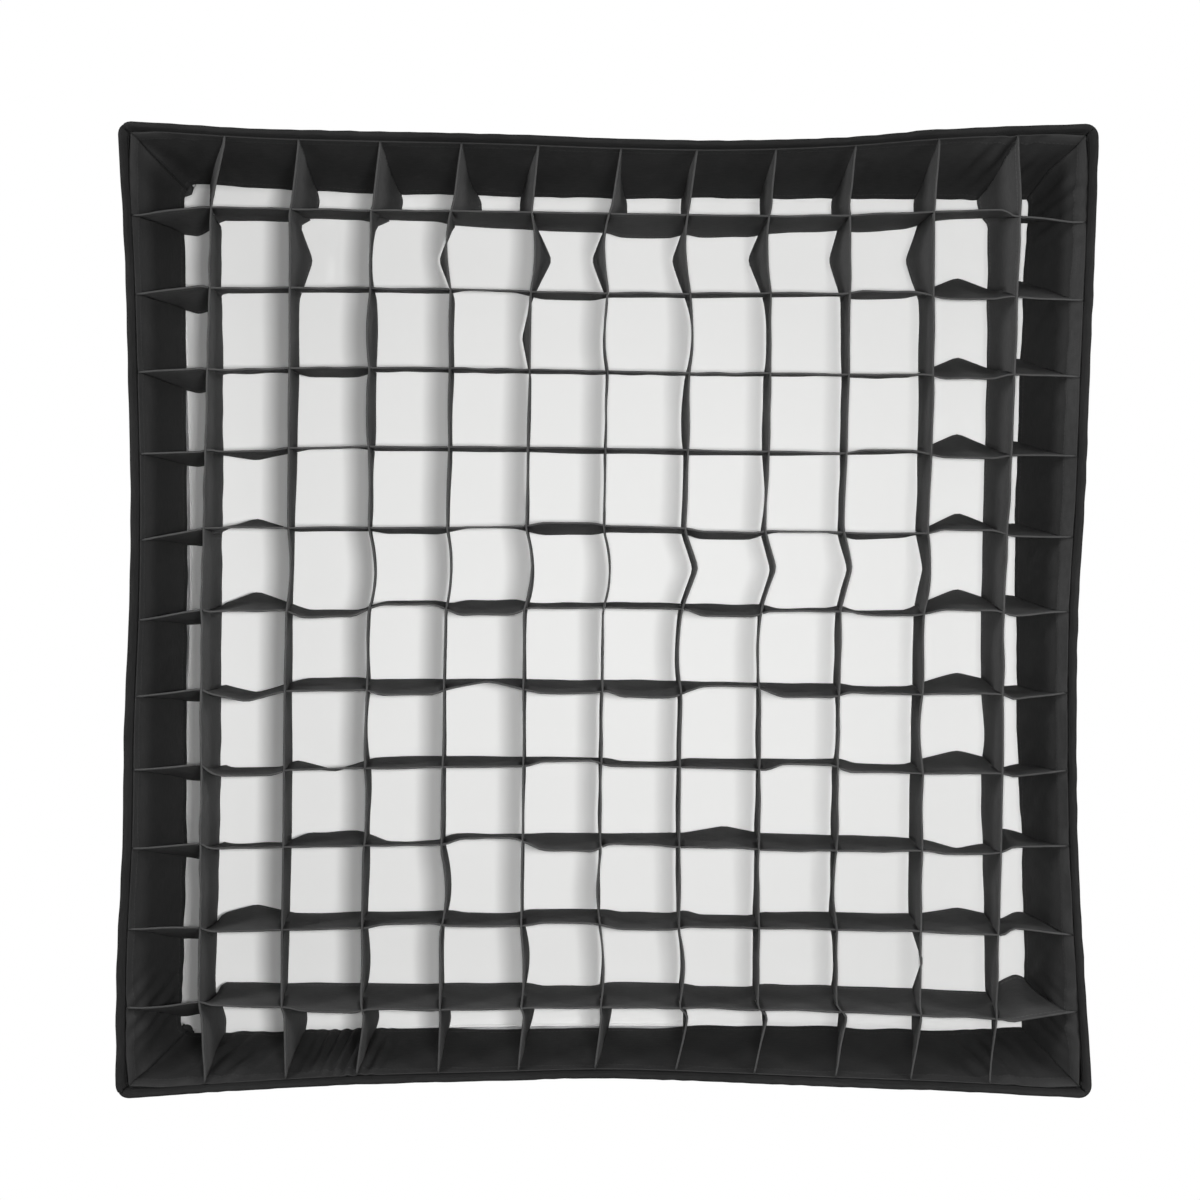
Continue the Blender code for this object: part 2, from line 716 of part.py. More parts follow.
def speed_ring():
    c = RING_CHAMFER
    profile = [
        (RING_FLANGE_R - c, RING_REAR_Y),
        (RING_FLANGE_R, RING_REAR_Y - c),
        (RING_FLANGE_R, RING_STEP_Y + c),
        (RING_FLANGE_R - c, RING_STEP_Y),
        (RING_COLLAR_R, RING_STEP_Y),
        (RING_COLLAR_R, RING_FRONT_Y + c),
        (RING_COLLAR_R - c, RING_FRONT_Y),
        (RING_BORE_R, RING_FRONT_Y),
        (RING_BORE_R, RING_REAR_Y),
    ]
    ring = turned("speed_ring", profile, 48, ring_metal, turn_axis, TO_Y_AXIS)
    ear = [(EAR_ROOT_R, -EAR_ROOT_HALF), (EAR_TIP_R, -EAR_TIP_HALF)]
    ear += arc(EAR_TIP_HALF, -60, 60, 5, (EAR_TIP_R, 0))
    ear += [(EAR_TIP_R, EAR_TIP_HALF), (EAR_ROOT_R, EAR_ROOT_HALF)]
    level = Matrix.Translation((0, sum(EAR_Y) / 2, 0)) @ TO_Y_AXIS
    thickness = EAR_Y[1] - EAR_Y[0]
    bores = []
    for corner, (side_x, side_z) in CORNERS.items():
        turn = Matrix.Rotation(math.atan2(-side_z, side_x), 4, "Z")
        boolean(ring, plate("ear_" + corner, [ear], thickness, None, None, level @ turn), "UNION")
        front, rear = (rod_at_rear(corner, y) for y in SOCKET_Y)
        boolean(ring, cylinder("socket_" + corner, SOCKET_R, front, rear, 16), "UNION")
        over = (front - rear).normalized() * SOCKET_R
        stop = rod_at_rear(corner, ROD_REAR_Y + 2 * TAPE_GAP)
        bores.append(cylinder("socket_bore_" + corner, SOCKET_BORE_R, front + over, stop, 12))
    bores.append(
        cylinder("lock_hole", LOCK_HOLE_R, (RING_BORE_R - 0.003, LOCK_Y, 0), (RING_FLANGE_R + 0.003, LOCK_Y, 0), 12)
    )
    for bore in bores:
        boolean(ring, bore, "DIFFERENCE")


def bayonet_insert():
    front, groove_front = INSERT_FRONT_Y, GROOVE_Y[0]
    profile = [
        (THROAT_OUTER_R, THROAT_REAR_Y),
        (THROAT_OUTER_R, 0),
        (INSERT_FLANGE_R, 0),
        (INSERT_FLANGE_R, -INSERT_FLANGE),
        (INSERT_R, -INSERT_FLANGE),
        (INSERT_R, GROOVE_Y[1]),
        (GROOVE_R, GROOVE_Y[1]),
        (GROOVE_R, groove_front),
        (INSERT_R, groove_front),
        (INSERT_R, front),
        (INSERT_BORE_R, front),
        (INSERT_BORE_R, -INSERT_FLANGE),
        (THROAT_R, -INSERT_FLANGE),
        (THROAT_R, THROAT_REAR_Y),
    ]
    insert = turned("bayonet_insert", profile, 48, insert_metal, insert_axis, TO_Y_AXIS)
    outline = []
    for k in range(3):
        middle = 90 + 120 * k
        outline += arc(LUG_R, middle - LUG_DEG / 2, middle + LUG_DEG / 2, 7)
        outline += arc(LUG_ROOT_R, middle + LUG_DEG / 2 + 2, middle + 118 - LUG_DEG / 2, 11)
    hole = arc(THROAT_R + 0.001, 0, 352.5, 48)
    level = Matrix.Translation((0, THROAT_REAR_Y - 0.0006 - LUG_THICKNESS / 2, 0)) @ TO_Y_AXIS
    boolean(insert, plate("lugs", [outline, hole], LUG_THICKNESS, None, None, level), "UNION")


def retaining_ring():
    """Open spring ring in the insert's groove, which keeps the speed ring on."""
    gap = SNAP_RING_GAP_DEG / 2
    inner, outer = SNAP_RING_R
    outline = arc(outer, gap - 90, 270 - gap, 33) + arc(inner, 270 - gap, gap - 90, 33)
    level = Matrix.Translation((0, sum(SNAP_RING_Y) / 2, 0)) @ TO_Y_AXIS
    plate("retaining_ring", [outline], SNAP_RING_Y[1] - SNAP_RING_Y[0], insert_metal, insert_axis, level)


def lock_screw():
    """Thumb screw through the speed ring's flange, which clamps it on the insert."""
    middle = Matrix.Translation((0, LOCK_Y, 0)) @ TO_X_AXIS
    chamfer = 0.0006
    shank = [
        (0, SHANK_TO),
        (SHANK_R, SHANK_TO),
        (SHANK_R, SHANK_FROM + chamfer),
        (SHANK_R - chamfer, SHANK_FROM),
        (0, SHANK_FROM),
    ]
    turned("lock_screw_shank", shank, 12, insert_metal, screw_axis, middle, False)
    outline = []
    sides = KNOB_LOBES * 6
    for k in range(sides):
        radius = KNOB_R - KNOB_LOBE + KNOB_LOBE * math.cos(2 * math.pi * k * KNOB_LOBES / sides)
        outline += arc(radius, 360 * k / sides, 360 * k / sides, 1)
    level = Matrix.Translation(((KNOB_FROM + KNOB_TO) / 2, LOCK_Y, 0)) @ TO_X_AXIS
    knob = plate("lock_screw_knob", [outline], KNOB_TO - KNOB_FROM, knob_plastic, knob_axis, level)
    start = (KNOB_FROM - 0.002, LOCK_Y, 0)
    boolean(knob, cylinder("knob_bore", KNOB_BORE_R, start, (KNOB_BORE_TO, LOCK_Y, 0), 12), "DIFFERENCE")


clear_scene()
parts = new_collection(OBJECT_NAME)
cutters = new_collection("cutters")

black_cloth = new_material("black_cloth", (0.018, 0.018, 0.018), 0.85)
black_tape = new_material("black_tape", (0.014, 0.014, 0.014), 0.75)
white_cloth = new_material("white_cloth", (0.80, 0.80, 0.79), 0.80)
rod_steel = new_material("rod_steel", (0.32, 0.32, 0.33), 0.35, 1.0)
tip_plastic = new_material("tip_plastic", (0.025, 0.025, 0.026), 0.50)
ring_metal = new_material("ring_metal", (0.030, 0.030, 0.032), 0.45, 0.6)
insert_metal = new_material("insert_metal", (0.60, 0.60, 0.61), 0.30, 1.0)
knob_plastic = new_material("knob_plastic", (0.022, 0.022, 0.023), 0.45)

insert_axis = new_axis("mount_insert")
turn_axis = new_axis("softbox_turn_axis")
diffuser_axis = new_axis("diffuser_pull_axis")
grid_axis = new_axis("grid_pull_axis")
screw_axis = new_axis("lock_screw_slide_axis")
knob_axis = new_axis("lock_screw_turn_axis")

shell_panels()
edge_tapes()
rods()
rod_tips()
corner_pockets()
grid_border()
grid_strips()
front_diffuser()
inner_baffle()
speed_ring()
bayonet_insert()
retaining_ring()
lock_screw()
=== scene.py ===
"""Looks of a square softbox with a sewn egg-crate grid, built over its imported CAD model.

The front faces -Y, and the bayonet insert at the rear is on the +Y side. All sizes are in
metres unless a name ends in MM.
"""

import math
from typing import NamedTuple

import bmesh
import bpy
import numpy as np
from bpy.props import FloatProperty, FloatVectorProperty, PointerProperty
from mathutils import Matrix, Vector


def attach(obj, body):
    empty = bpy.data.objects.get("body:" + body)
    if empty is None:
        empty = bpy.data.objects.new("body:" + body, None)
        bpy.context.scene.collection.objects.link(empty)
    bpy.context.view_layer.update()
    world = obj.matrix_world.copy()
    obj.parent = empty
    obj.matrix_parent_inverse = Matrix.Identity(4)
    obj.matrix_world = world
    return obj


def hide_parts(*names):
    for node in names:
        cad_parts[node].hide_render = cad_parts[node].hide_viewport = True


bl_info = {
    "name": "Square Softbox Looks",
    "version": (1, 0, 0),
    "blender": (4, 5, 0),
    "location": "View3D > Sidebar > Softbox",
    "description": "Sews the cloth, tapes and grid of a square softbox over its frame, and sets its stage",
    "category": "Object",
}

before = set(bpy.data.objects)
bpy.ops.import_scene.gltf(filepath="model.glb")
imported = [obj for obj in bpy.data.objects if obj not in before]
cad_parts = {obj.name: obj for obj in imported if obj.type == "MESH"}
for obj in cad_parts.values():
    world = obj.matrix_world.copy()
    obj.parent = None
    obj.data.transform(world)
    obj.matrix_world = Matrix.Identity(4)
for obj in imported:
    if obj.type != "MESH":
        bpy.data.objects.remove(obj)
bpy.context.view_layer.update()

MM = 0.001
SIDES = ("top", "right", "bottom", "left")
CORNERS = {"top_right": (1, 1), "bottom_right": (1, -1), "bottom_left": (-1, -1), "top_left": (-1, 1)}
TO_Y_AXIS = Matrix.Rotation(-math.pi / 2, 4, "X")
TO_X_AXIS = Matrix.Rotation(math.pi / 2, 4, "Y")

# Shell, as in the CAD model
FRONT_Y = -0.390
REAR_Y = -0.034
FRONT_HALF = 0.3035
REAR_HALF = 0.090
FRONT_SLOPE = 0.45
CORNER_R = 0.007
FRONT_SAG = 0.010
REAR_SAG = 0.001
EDGE_REACH = (0.060, 0.150)
SHELL_LENGTH = REAR_Y - FRONT_Y
REAR_SLOPE = FRONT_SLOPE + 2 * (FRONT_HALF - REAR_HALF - FRONT_SLOPE * SHELL_LENGTH) / SHELL_LENGTH
EDGE_BACK = 0.0011

# How far the bound front edge is drawn in from a true square, in millimetres, at nine places
# along each side, clockwise from the top left corner. The edge was measured in the photograph, and these
# values were picked from those measures.
EDGE_DRAWN_IN_MM = (
    (0.1, 4.4, 6.3, 7.8, 10.6, 12.2, 10.0, 4.4, 1.9),
    (-1.2, 1.3, 4.4, 7.2, 11.6, 12.8, 11.9, 8.1, 3.2),
    (1.3, 5.4, 8.1, 11.3, 13.7, 11.9, 10.0, 6.3, 1.3),
    (-1.5, -0.8, 2.6, 3.8, 6.9, 7.8, 6.3, 4.1, 0.1),
)

# Grid
PITCH = 0.050
STRIPS = 11
HALF_SPAN = PITCH * (STRIPS - 1) / 2
CROSSINGS = [PITCH * k - HALF_SPAN for k in range(STRIPS)]
STRIP_DEPTH = 0.045
GRID_DEPTH = 0.003
STRIP_END_GAP = 0.0006
COLUMN_SLOT_FROM = 0.48
ROW_SLOT_TO = 0.52
SLOT_GAP = 0.0013
CELL_STEPS = 14
HEM_SHARE = 0.08
SHARP_FOLD_MM = 5
FLAT_FROM = 0.17
BORDER_DEPTHS = (0.004, 0.0475)
BORDER_LIP_MM = (2.3, 3.4, 2.6, 3.2)
BORDER_CORNER_LIP_MM = 3.2
BORDER_BACK_HALF = 0.2685
BORDER_BACK_SPAN = 0.270
BORDER_SHELL_SPAN = 0.285
BORDER_UNDER_SHELL = 0.0030
BORDER_END = 0.290
BORDER_FLAT = (0.0505, 0.590)
BORDER_LIP_SHARE = (0.10, 0.27, 0.16, 0.13)
BORDER_CORNER_LIP_SHARE = 0.12
BORDER_LIP_DEPTH = 0.05
# Pleats of the border: side, place along it, half width, spacing, lean, and height in millimetres
BORDER_PLEATS = (
    (0, 0.255, 0.026, 0.0120, 0.030, 1.4),
    (1, -0.260, 0.022, 0.0120, -0.020, 1.2),
    (1, 0.255, 0.020, 0.0110, 0.025, 1.1),
    (2, -0.250, 0.024, 0.0130, -0.025, 1.0),
    (2, 0.164, 0.019, 0.0076, 0.010, 2.2),
    (2, 0.240, 0.024, 0.0140, 0.030, 1.3),
    (3, -0.255, 0.024, 0.0130, -0.035, 1.4),
)
# Half width at the mitred corners, at the border's front, middle and back
BORDER_CORNER_HALF = (0.2978, 0.2800, 0.2702)
# How far out the border's back edge lies, at nine places along each side, picked as above
BORDER_BACK_MM = (
    (275.0, 270.6, 268.2, 266.5, 265.3, 265.3, 265.0, 264.6, 264.5),
    (271.8, 268.0, 265.0, 263.2, 262.9, 264.0, 266.3, 268.4, 267.0),
    (268.5, 270.9, 267.8, 267.6, 268.8, 269.6, 269.2, 271.0, 272.5),
    (275.0, 272.4, 270.5, 271.2, 270.6, 271.4, 271.1, 271.5, 272.5),
)

# Shape of the grid's cloth in millimetres. The strips' edges were measured in the photograph, and
# these values were picked and smoothed from those measures, then corrected where the
# render differed. A column's offsets are to the right of its place and a row's are upwards, and
# strips are in order from the left or from the top. Lines are given at five places from the first
# crossing to the last. Ends give the front edge at the border and at the crossing, then the back
# edge at the border, at its tip and at the crossing. Folds are given by strip and cell, only where
# the cloth plainly folds. A sharp fold peaks in the middle of its cell, apart from the peak cell
# of a column, where the peak is given as a share of the cell from its top.
COLUMN_FRONT_LINES = (
    (3.4, 0.5, -2.4, -3, -4.2), (2.2, 1.9, 0.3, -1.6, -3), (2.4, 2, 1, -1.8, -3.4),
    (2.5, 1.4, -0.8, -3, -4.5), (2.5, 1.2, -1.8, -2.8, -4.5), (2, -0.6, -2.6, -3.8, -4.5),
    (0.5, 1, -3.3, -4.8, -5.5), (1.5, 1.2, -4, -5.4, -6.2), (1.5, -0.4, -4.6, -6.8, -7.2),
    (3.5, 2.4, -2.8, -4, -5.5), (7.2, 2.7, -3, -4.5, -8),
)
COLUMN_BACK_LINES = (
    (1, 2.6, 1.5, 0.6, -2.5), (1.5, 0.9, -2.7, -3.2, -6), (2.5, 0.7, -3, -2.5, -6),
    (2, 0.3, -3.4, -4.2, -5.5), (2.5, 0.3, -1.8, -3.4, -5), (1, -0.8, -2.8, -5, -5),
    (1, 0.3, -3.4, -5.2, -5.5), (1, 0.6, -2.8, -4.4, -6.5), (0, 0.7, -2.8, -5.3, -7.5),
    (1.2, 0.6, -2.4, -5, -6), (-4.6, -5.9, -9, -8.6, -6),
)
COLUMN_FRONT_FOLDS = {
    2: {5: 2},
    3: {2: -2, 3: -2, 5: 4, 8: 2},
    4: {1: -2, 5: 3, 9: 3},
    5: {1: 3, 5: 4, 10: 2},
    6: {1: -3, 2: -2, 5: 4, 9: -2, 10: 2},
    7: {1: -2, 2: 2, 5: 9, 6: -2, 10: 3},
    8: {1: -2, 5: 8, 6: -2},
    9: {5: 6, 9: -2},
    10: {5: 3, 7: -2},
}
COLUMN_BACK_FOLDS = {
    2: {1: 9},
    3: {1: -4, 5: 4, 7: -2, 10: 2},
    4: {1: -9, 5: 3, 9: 4},
    5: {1: 12, 2: -6, 5: 4, 10: 4},
    6: {1: -10, 2: -2, 5: 4, 10: 2},
    7: {1: -9, 2: 4, 3: -2, 5: 8, 6: -2, 10: 3},
    8: {1: -10, 2: 2, 4: 2, 5: 8},
    9: {1: -7, 5: 7, 7: 2, 10: 3},
    10: {1: -9, 5: 5, 10: 9},
    11: {7: 2},
}
COLUMN_TOP_ENDS = (
    (12, 3, -5, -5.5, -4.5), (8, 3.5, 13, 15, 12.5), (8.5, 4, 16.5, 19, 16),
    (9.5, 3.5, 14.5, 18.5, 18.5), (7, 3.5, -4, -5.5, -5.5), (9, 3, 10, 12.5, 12.5),
    (6.5, 1, -1, -2, -2), (5, 2, -1.5, -1.5, -1.5), (5, 0.5, -3, -5.5, -5.5), (6.5, 4, -0.5, -2.5, -2),
    (5.5, 7.5, -10, -12, -9),
)
COLUMN_BOTTOM_ENDS = (
    (-0.5, -3, 4, 5, 1.5), (-0.5, -1, 5.5, 7, 5.5), (-6.5, -1.5, 0, 3, 2.5), (-5.5, -4, -2.5, -0.5, -2),
    (-5.5, -2, -1, 1.5, 3.5), (-8, -3.5, 0, 2, 3.5), (-8.5, 0.5, -0.5, -0.5, -0.5),
    (-9.5, 0, 0.5, 0, -0.5), (-8.5, -1, -2, -1, 0), (-11, -4.5, -3.5, -3.5, -3.5),
    (-12.5, -7.5, -2, -2, -1.5),
)
PEAK_CELL = 5
COLUMN_FOLD_PEAKS = (0.5, 0.3, 0.3, 0.3, 0.3, 0.47, 0.47, 0.47, 0.47, 0.47, 0.5)
ROW_FRONT_LINES = (
    (1, -1, -2.8, -4.4, -0.3), (0.8, 0.4, -2.4, -2.6, -4.7), (0, 1.2, -1.2, -2.8, -3.5),
    (1, 1.8, 0.8, -1.5, -3.5), (1.6, 1.6, 2.4, -0.8, -3.5), (-0.8, 0.8, 1.6, -0.4, -2),
    (-1, 0.8, 0.4, -0.8, -2.5), (0, 2, 3.5, 0, -1.5), (1.8, 4, 4.6, 0.6, 0.7), (0, 3, 3.6, 2, -2),
    (4.3, 1.4, 3, 1, -4.5),
)
ROW_BACK_LINES = (
    (1, -1, -7, -6.5, 1.5), (4.5, 4.6, 1.6, 2, 4), (2.7, 3.6, 2, 1, 3), (1.2, 2.8, 1.3, 0, 3),
    (0.6, 1.4, 0.6, -1.5, 2), (2.5, 3.5, 4.6, 2.8, 5), (3, 5.2, 4.8, 2.6, 3), (2.2, 5.4, 4.8, 3.8, 3.3),
    (2, 5.2, 6.2, 5.5, 1.2), (4, 6, 7.4, 5.6, 3), (10.3, 9.5, 10.2, 8.6, 4),
)
ROW_FRONT_FOLDS = {
    2: {9: 2, 10: -2},
    3: {10: -2},
    4: {1: -2, 9: 2, 10: -2},
    5: {5: 2, 7: -2, 10: 3},
    6: {2: -4, 3: 3, 4: -4, 7: -4, 9: -2, 10: 2},
    7: {1: -6, 3: -3, 4: 5, 5: -2, 6: -4, 7: 3, 8: -3},
    8: {1: -3, 5: 3, 8: 4},
    9: {4: 4, 5: -4, 10: -2},
    10: {3: 2, 5: 2, 6: -2},
    11: {2: -2},
}
ROW_BACK_FOLDS = {
    1: {2: 2, 3: 2, 6: -3, 7: -2, 9: -2, 10: 2},
    2: {4: 2, 5: -2, 9: -2, 10: 10},
    3: {2: -3, 9: -2, 10: 10},
    4: {1: -5, 2: 2, 10: 11},
    5: {1: 8, 3: -2, 4: 2, 5: -2, 7: -3, 8: 2, 9: -3, 10: 11},
    6: {1: 9, 2: -3, 3: 2, 4: 2, 8: -2, 9: -4, 10: 9},
    7: {1: -7, 2: 2, 9: -2, 10: 7},
    8: {1: -4, 2: -8, 6: -2, 9: -3, 10: 6},
    9: {1: -3, 2: 3, 3: -4, 7: 5, 10: -6},
    10: {1: 6, 4: -2, 6: -2, 7: -3, 10: 5},
    11: {5: -2, 7: -2},
}
ROW_LEFT_ENDS = (
    (-3.5, 1.5, -8, -9.5, -3.5), (-3, 2.5, -6.5, -9.5, -6), (-1.5, 1, -8, -10.5, -7),
    (-2, -1, -6.5, -7.5, -4.5), (-6.5, 1.5, -7.5, -8, -8.5), (-6, 1, -9, -9, -7.5),
    (-3.5, 1.5, -8, -8.5, -7.5), (1, 5, -8.5, -9.5, -8), (2, 5.5, -8.5, -9.5, -9),
    (2, 3, -11, -11, -11), (2.5, 7, -10.5, -9, -8.5),
)
ROW_RIGHT_ENDS = (
    (-8, -4, -0.5, -1, -2), (-7, -4.5, 10.5, 11.5, 12), (-4.5, -3.5, 10.5, 11.5, 12),
    (-4, -3.5, 7.5, 8, 8.5), (-4, -4, 5.5, 5.5, 5), (-0.5, -3, 8, 8.5, 9.5), (-0.5, -5.5, 1, 1, 0.5),
    (1.5, -3.5, 2, 1, -1.5), (4, 2.5, 5, 7.5, 10), (-2, 2.5, 5, 6, 0.5), (0.5, -6, 12, 15.5, 11),
)
FRONT_END_PLACES = (0.2515, 0.2905)
BACK_END_PLACES = (0.2525, 0.2625, 0.2705)

# Shell cloth laid flat, the tape over its seams, the loop tape and the overlap of the binding
PANEL_STRETCH = 1.17
SEAM_FLAT = (0.0112, 0.430)
SEAM_STRETCH = 1.3
SEAM_FROM_EDGE = 0.011
SEAM_CLOTH = 0.0005
LOOP_DEPTHS = (0.0112, 0.0246)
LOOP_INSET = 0.0017
LOOP_CLOTH = 0.0008
OVERLAP_FROM = 0.188
OVERLAP_TO = 0.208

# Diffuser, baffle, rods and pockets
DIFFUSER_DEPTH = 0.0515
DIFFUSER_INSET = 0.002
DIFFUSER_SLACK = 0.009
DIFFUSER_SLACK_HALF = 0.276
DIFFUSER_CLOTH = 0.0005
PATTERN_MARGIN = 0.3
SKIRT_CLOTH = 0.0008
POCKET_CLEARANCE = 0.0054
SKIRT_DEPTHS = (0.0525, 0.0725)
BAFFLE_Y = -0.200
BAFFLE_HALF = 0.150
BAFFLE_DRAWN_IN = 0.004
BAFFLE_CLOTH = 0.0006
STRAP_HALF_WIDTH = 0.004
STRAP_CLOTH = 0.0010
ROD_R = 0.0020
ROD_FRONT_DEPTH = 0.031
ROD_REAR_Y = -0.0125
TIP_FLOOR = 0.003
TIP_LENGTH = 0.020
POCKET_LEAD = 0.0015
POCKET_LENGTH = 0.040

# Speed ring and lock screw
EAR_Y = (-0.0195, -0.0062)
SOCKET_Y = (-0.0265, -0.0095)
LOCK_Y = -0.0120

# Stage
CAMERA_PLACE = (-0.0046, -1.71, 0.0066)
CAMERA_LENS = 63.8
GRID_MIDDLE = (0, -0.34, 0)
FLOOR_Z = -1.05
FLOOR_RADIUS = 1.5
FLOOR_GLOW = 0.12


def size_property(name, description, default, unit="LENGTH"):
    return FloatProperty(name=name, description=description, default=default, unit=unit)


class SoftboxSizes(bpy.types.PropertyGroup):
    """Sizes that change how the cloth and the light look."""

    strip_cloth: size_property("Grid Cloth", "Thickness of the grid's cloth", 0.0007)
    hem: size_property("Hem", "Thickness of the folded hems of the grid", 0.0011)
    shell_cloth: size_property("Shell Cloth", "Thickness of the shell's lined cloth", 0.0008)
    tape: size_property("Edge Tape", "Thickness of the binding tape", 0.0008)
    crease: size_property("Crease", "Height of small creases in the cloth", 0.00028)
    key_power: size_property("Key Light", "Power of the soft lamp in front, to the right", 4.85, "POWER")
    front_power: size_property("Front Light", "Power of the small lamp at the camera", 7.55, "POWER")
    right_power: size_property("Right Light", "Power of the soft lamp far to the right", 12.0, "POWER")
    left_power: size_property("Left Light", "Power of the soft lamp far to the left", 13.0, "POWER")
    back_power: size_property("Back Light", "Power of the soft lamp behind the softbox", 30.0, "POWER")
    ambient: size_property("Room Light", "Strength of the even light from all round", 0.06, "NONE")


def colour_property(name, description, default):
    return FloatVectorProperty(
        name=name, description=description, default=default, size=3, min=0.0, max=1.0, subtype="COLOR"
    )


class SoftboxColours(bpy.types.PropertyGroup):
    """Colours of the softbox and of its floor."""

    grid_cloth: colour_property("Grid Cloth", "Black cloth of the grid strips", (0.054, 0.054, 0.054))
    border_cloth: colour_property("Border Cloth", "Black cloth of the border", (0.0175, 0.0175, 0.0175))
    shell_cloth: colour_property("Shell Cloth", "Black outer cloth of the shell", (0.022, 0.022, 0.023))
    lining: colour_property("Lining", "Silver lining inside the shell", (0.62, 0.62, 0.63))
    tape: colour_property("Edge Tape", "Black binding tape", (0.018, 0.018, 0.018))
    diffuser: colour_property("Diffuser", "White diffuser and baffle cloth", (0.82, 0.82, 0.82))
    steel: colour_property("Rod Steel", "Bare spring steel of the rods", (0.42, 0.42, 0.43))
    ring: colour_property("Ring Coating", "Black coating of the speed ring", (0.026, 0.026, 0.028))
    insert: colour_property("Insert Metal", "Turned metal of the bayonet insert", (0.66, 0.66, 0.67))
    plastic: colour_property("Plastic", "Black plastic of the knob and the rod tips", (0.022, 0.022, 0.023))
    floor: colour_property("Floor", "Plain pale floor", (0.80, 0.80, 0.80))


# Curves and creases


def curve_through(values):
    """Smooth curve through values that are evenly spaced from -1 to 1."""
    knots = np.array(values, float)
    padded = np.concatenate([[2 * knots[0] - knots[1]], knots, [2 * knots[-1] - knots[-2]]])

    def curve(share):
        place = (np.clip(share, -1, 1) + 1) / 2 * (len(knots) - 1)
        left = np.minimum(np.floor(place).astype(int), len(knots) - 2)
        t = place - left
        before, start, end, after = (padded[left + k] for k in range(4))
        bend = 2 * before - 5 * start + 4 * end - after
        twist = 3 * start - before - 3 * end + after
        return (2 * start + (end - before) * t + bend * t**2 + twist * t**3) / 2

    return curve


FRONT_EDGE = [curve_through(values) for values in EDGE_DRAWN_IN_MM]
BORDER_BACK = [curve_through(values) for values in BORDER_BACK_MM]


def creases(seed, x, y, length, count=6):
    """Small random creases, about -1 to 1 high; length is how far apart they usually are."""
    dice = np.random.default_rng(seed)
    total = 0.0
    for _ in range(count):
        turn, phase = dice.uniform(0, 2 * math.pi, 2)
        pace = 2 * math.pi / (length * dice.uniform(0.6, 1.7))
        total = total + np.sin((x * math.cos(turn) + y * math.sin(turn)) * pace + phase)
    return total / math.sqrt(count)


def mix(start, end, share):
    return start + (end - start) * share


# Meshes and pieces


def new_piece(mesh, finishes, body, slot, *replaced):
    """A finished piece named after its mesh, which rides on a body and stands for CAD nodes."""
    piece = bpy.data.objects.new(mesh.name, mesh)
    bpy.context.scene.collection.objects.link(piece)
    for finish in finishes:
        mesh.materials.append(finish)
    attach(piece, body)
    if replaced:
        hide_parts(*replaced)
    return piece


def mesh_from(shape, name):
    mesh = bpy.data.meshes.new(name)
    shape.to_mesh(mesh)
    shape.free()
    return mesh


def joined_mesh(name, shapes, sharp_deg=35.0):
    """One mesh of several closed shapes, smooth apart from its sharp edges."""
    whole = bmesh.new()
    for shape in shapes:
        bmesh.ops.recalc_face_normals(shape, faces=shape.faces)
        part = mesh_from(shape, name + "_part")
        whole.from_mesh(part)
        bpy.data.meshes.remove(part)
    mesh = mesh_from(whole, name)
    mesh.shade_smooth()
    mesh.set_sharp_from_angle(angle=math.radians(sharp_deg))
    return mesh


def sewn_mesh(name, points, cut, hem=None, openings=(), outward=False):
    """Mesh of a sheet: a grid whose corner (i, j) goes to points[i, j], with its flat pattern as UV."""
    columns, rows = points.shape[0] - 1, points.shape[1] - 1
    shape = bmesh.new()
    pattern = shape.loops.layers.uv.new("flat_pattern")
    weight = shape.verts.layers.deform.verify()
    bmesh.ops.create_grid(shape, x_segments=columns, y_segments=rows, size=0.5)
    index = {
        vert: (round((vert.co.x + 0.5) * columns), round((vert.co.y + 0.5) * rows)) for vert in shape.verts
    }
    for face in shape.faces:
        for loop in face.loops:
            loop[pattern].uv = cut[index[loop.vert]]
    for vert, place in index.items():
        vert.co = points[place]
        if hem is not None:
            vert[weight][0] = hem[place]
    if openings:
        lowest = {face: min(index[vert] for vert in face.verts) for face in shape.faces}
        cells = [face for face, cell in lowest.items() if cell in openings]
        bmesh.ops.delete(shape, geom=cells, context="FACES")
    bmesh.ops.remove_doubles(shape, verts=shape.verts, dist=1e-7)
    bmesh.ops.recalc_face_normals(shape, faces=shape.faces)
    if outward:
        shape.faces.ensure_lookup_table()
        middle = shape.faces[len(shape.faces) // 2]
        away = middle.calc_center_median()
        away.y = 0
        if middle.normal.dot(away) < 0:
            bmesh.ops.reverse_faces(shape, faces=shape.faces)
    mesh = mesh_from(shape, name)
    mesh.shade_smooth()
    return mesh


def thicken(piece, thickness, thinnest=1.0, lining=False):
    """Gives a sheet its thickness; where it has hems, the rest is the thinnest share of them."""
    wall = piece.modifiers.new("cloth", "SOLIDIFY")
    wall.thickness = thickness
    wall.offset = 0.0
    if thinnest < 1.0:
        wall.vertex_group = piece.vertex_groups.new(name="hem").name
        wall.thickness_vertex_group = thinnest
    if lining:
        wall.material_offset = 1


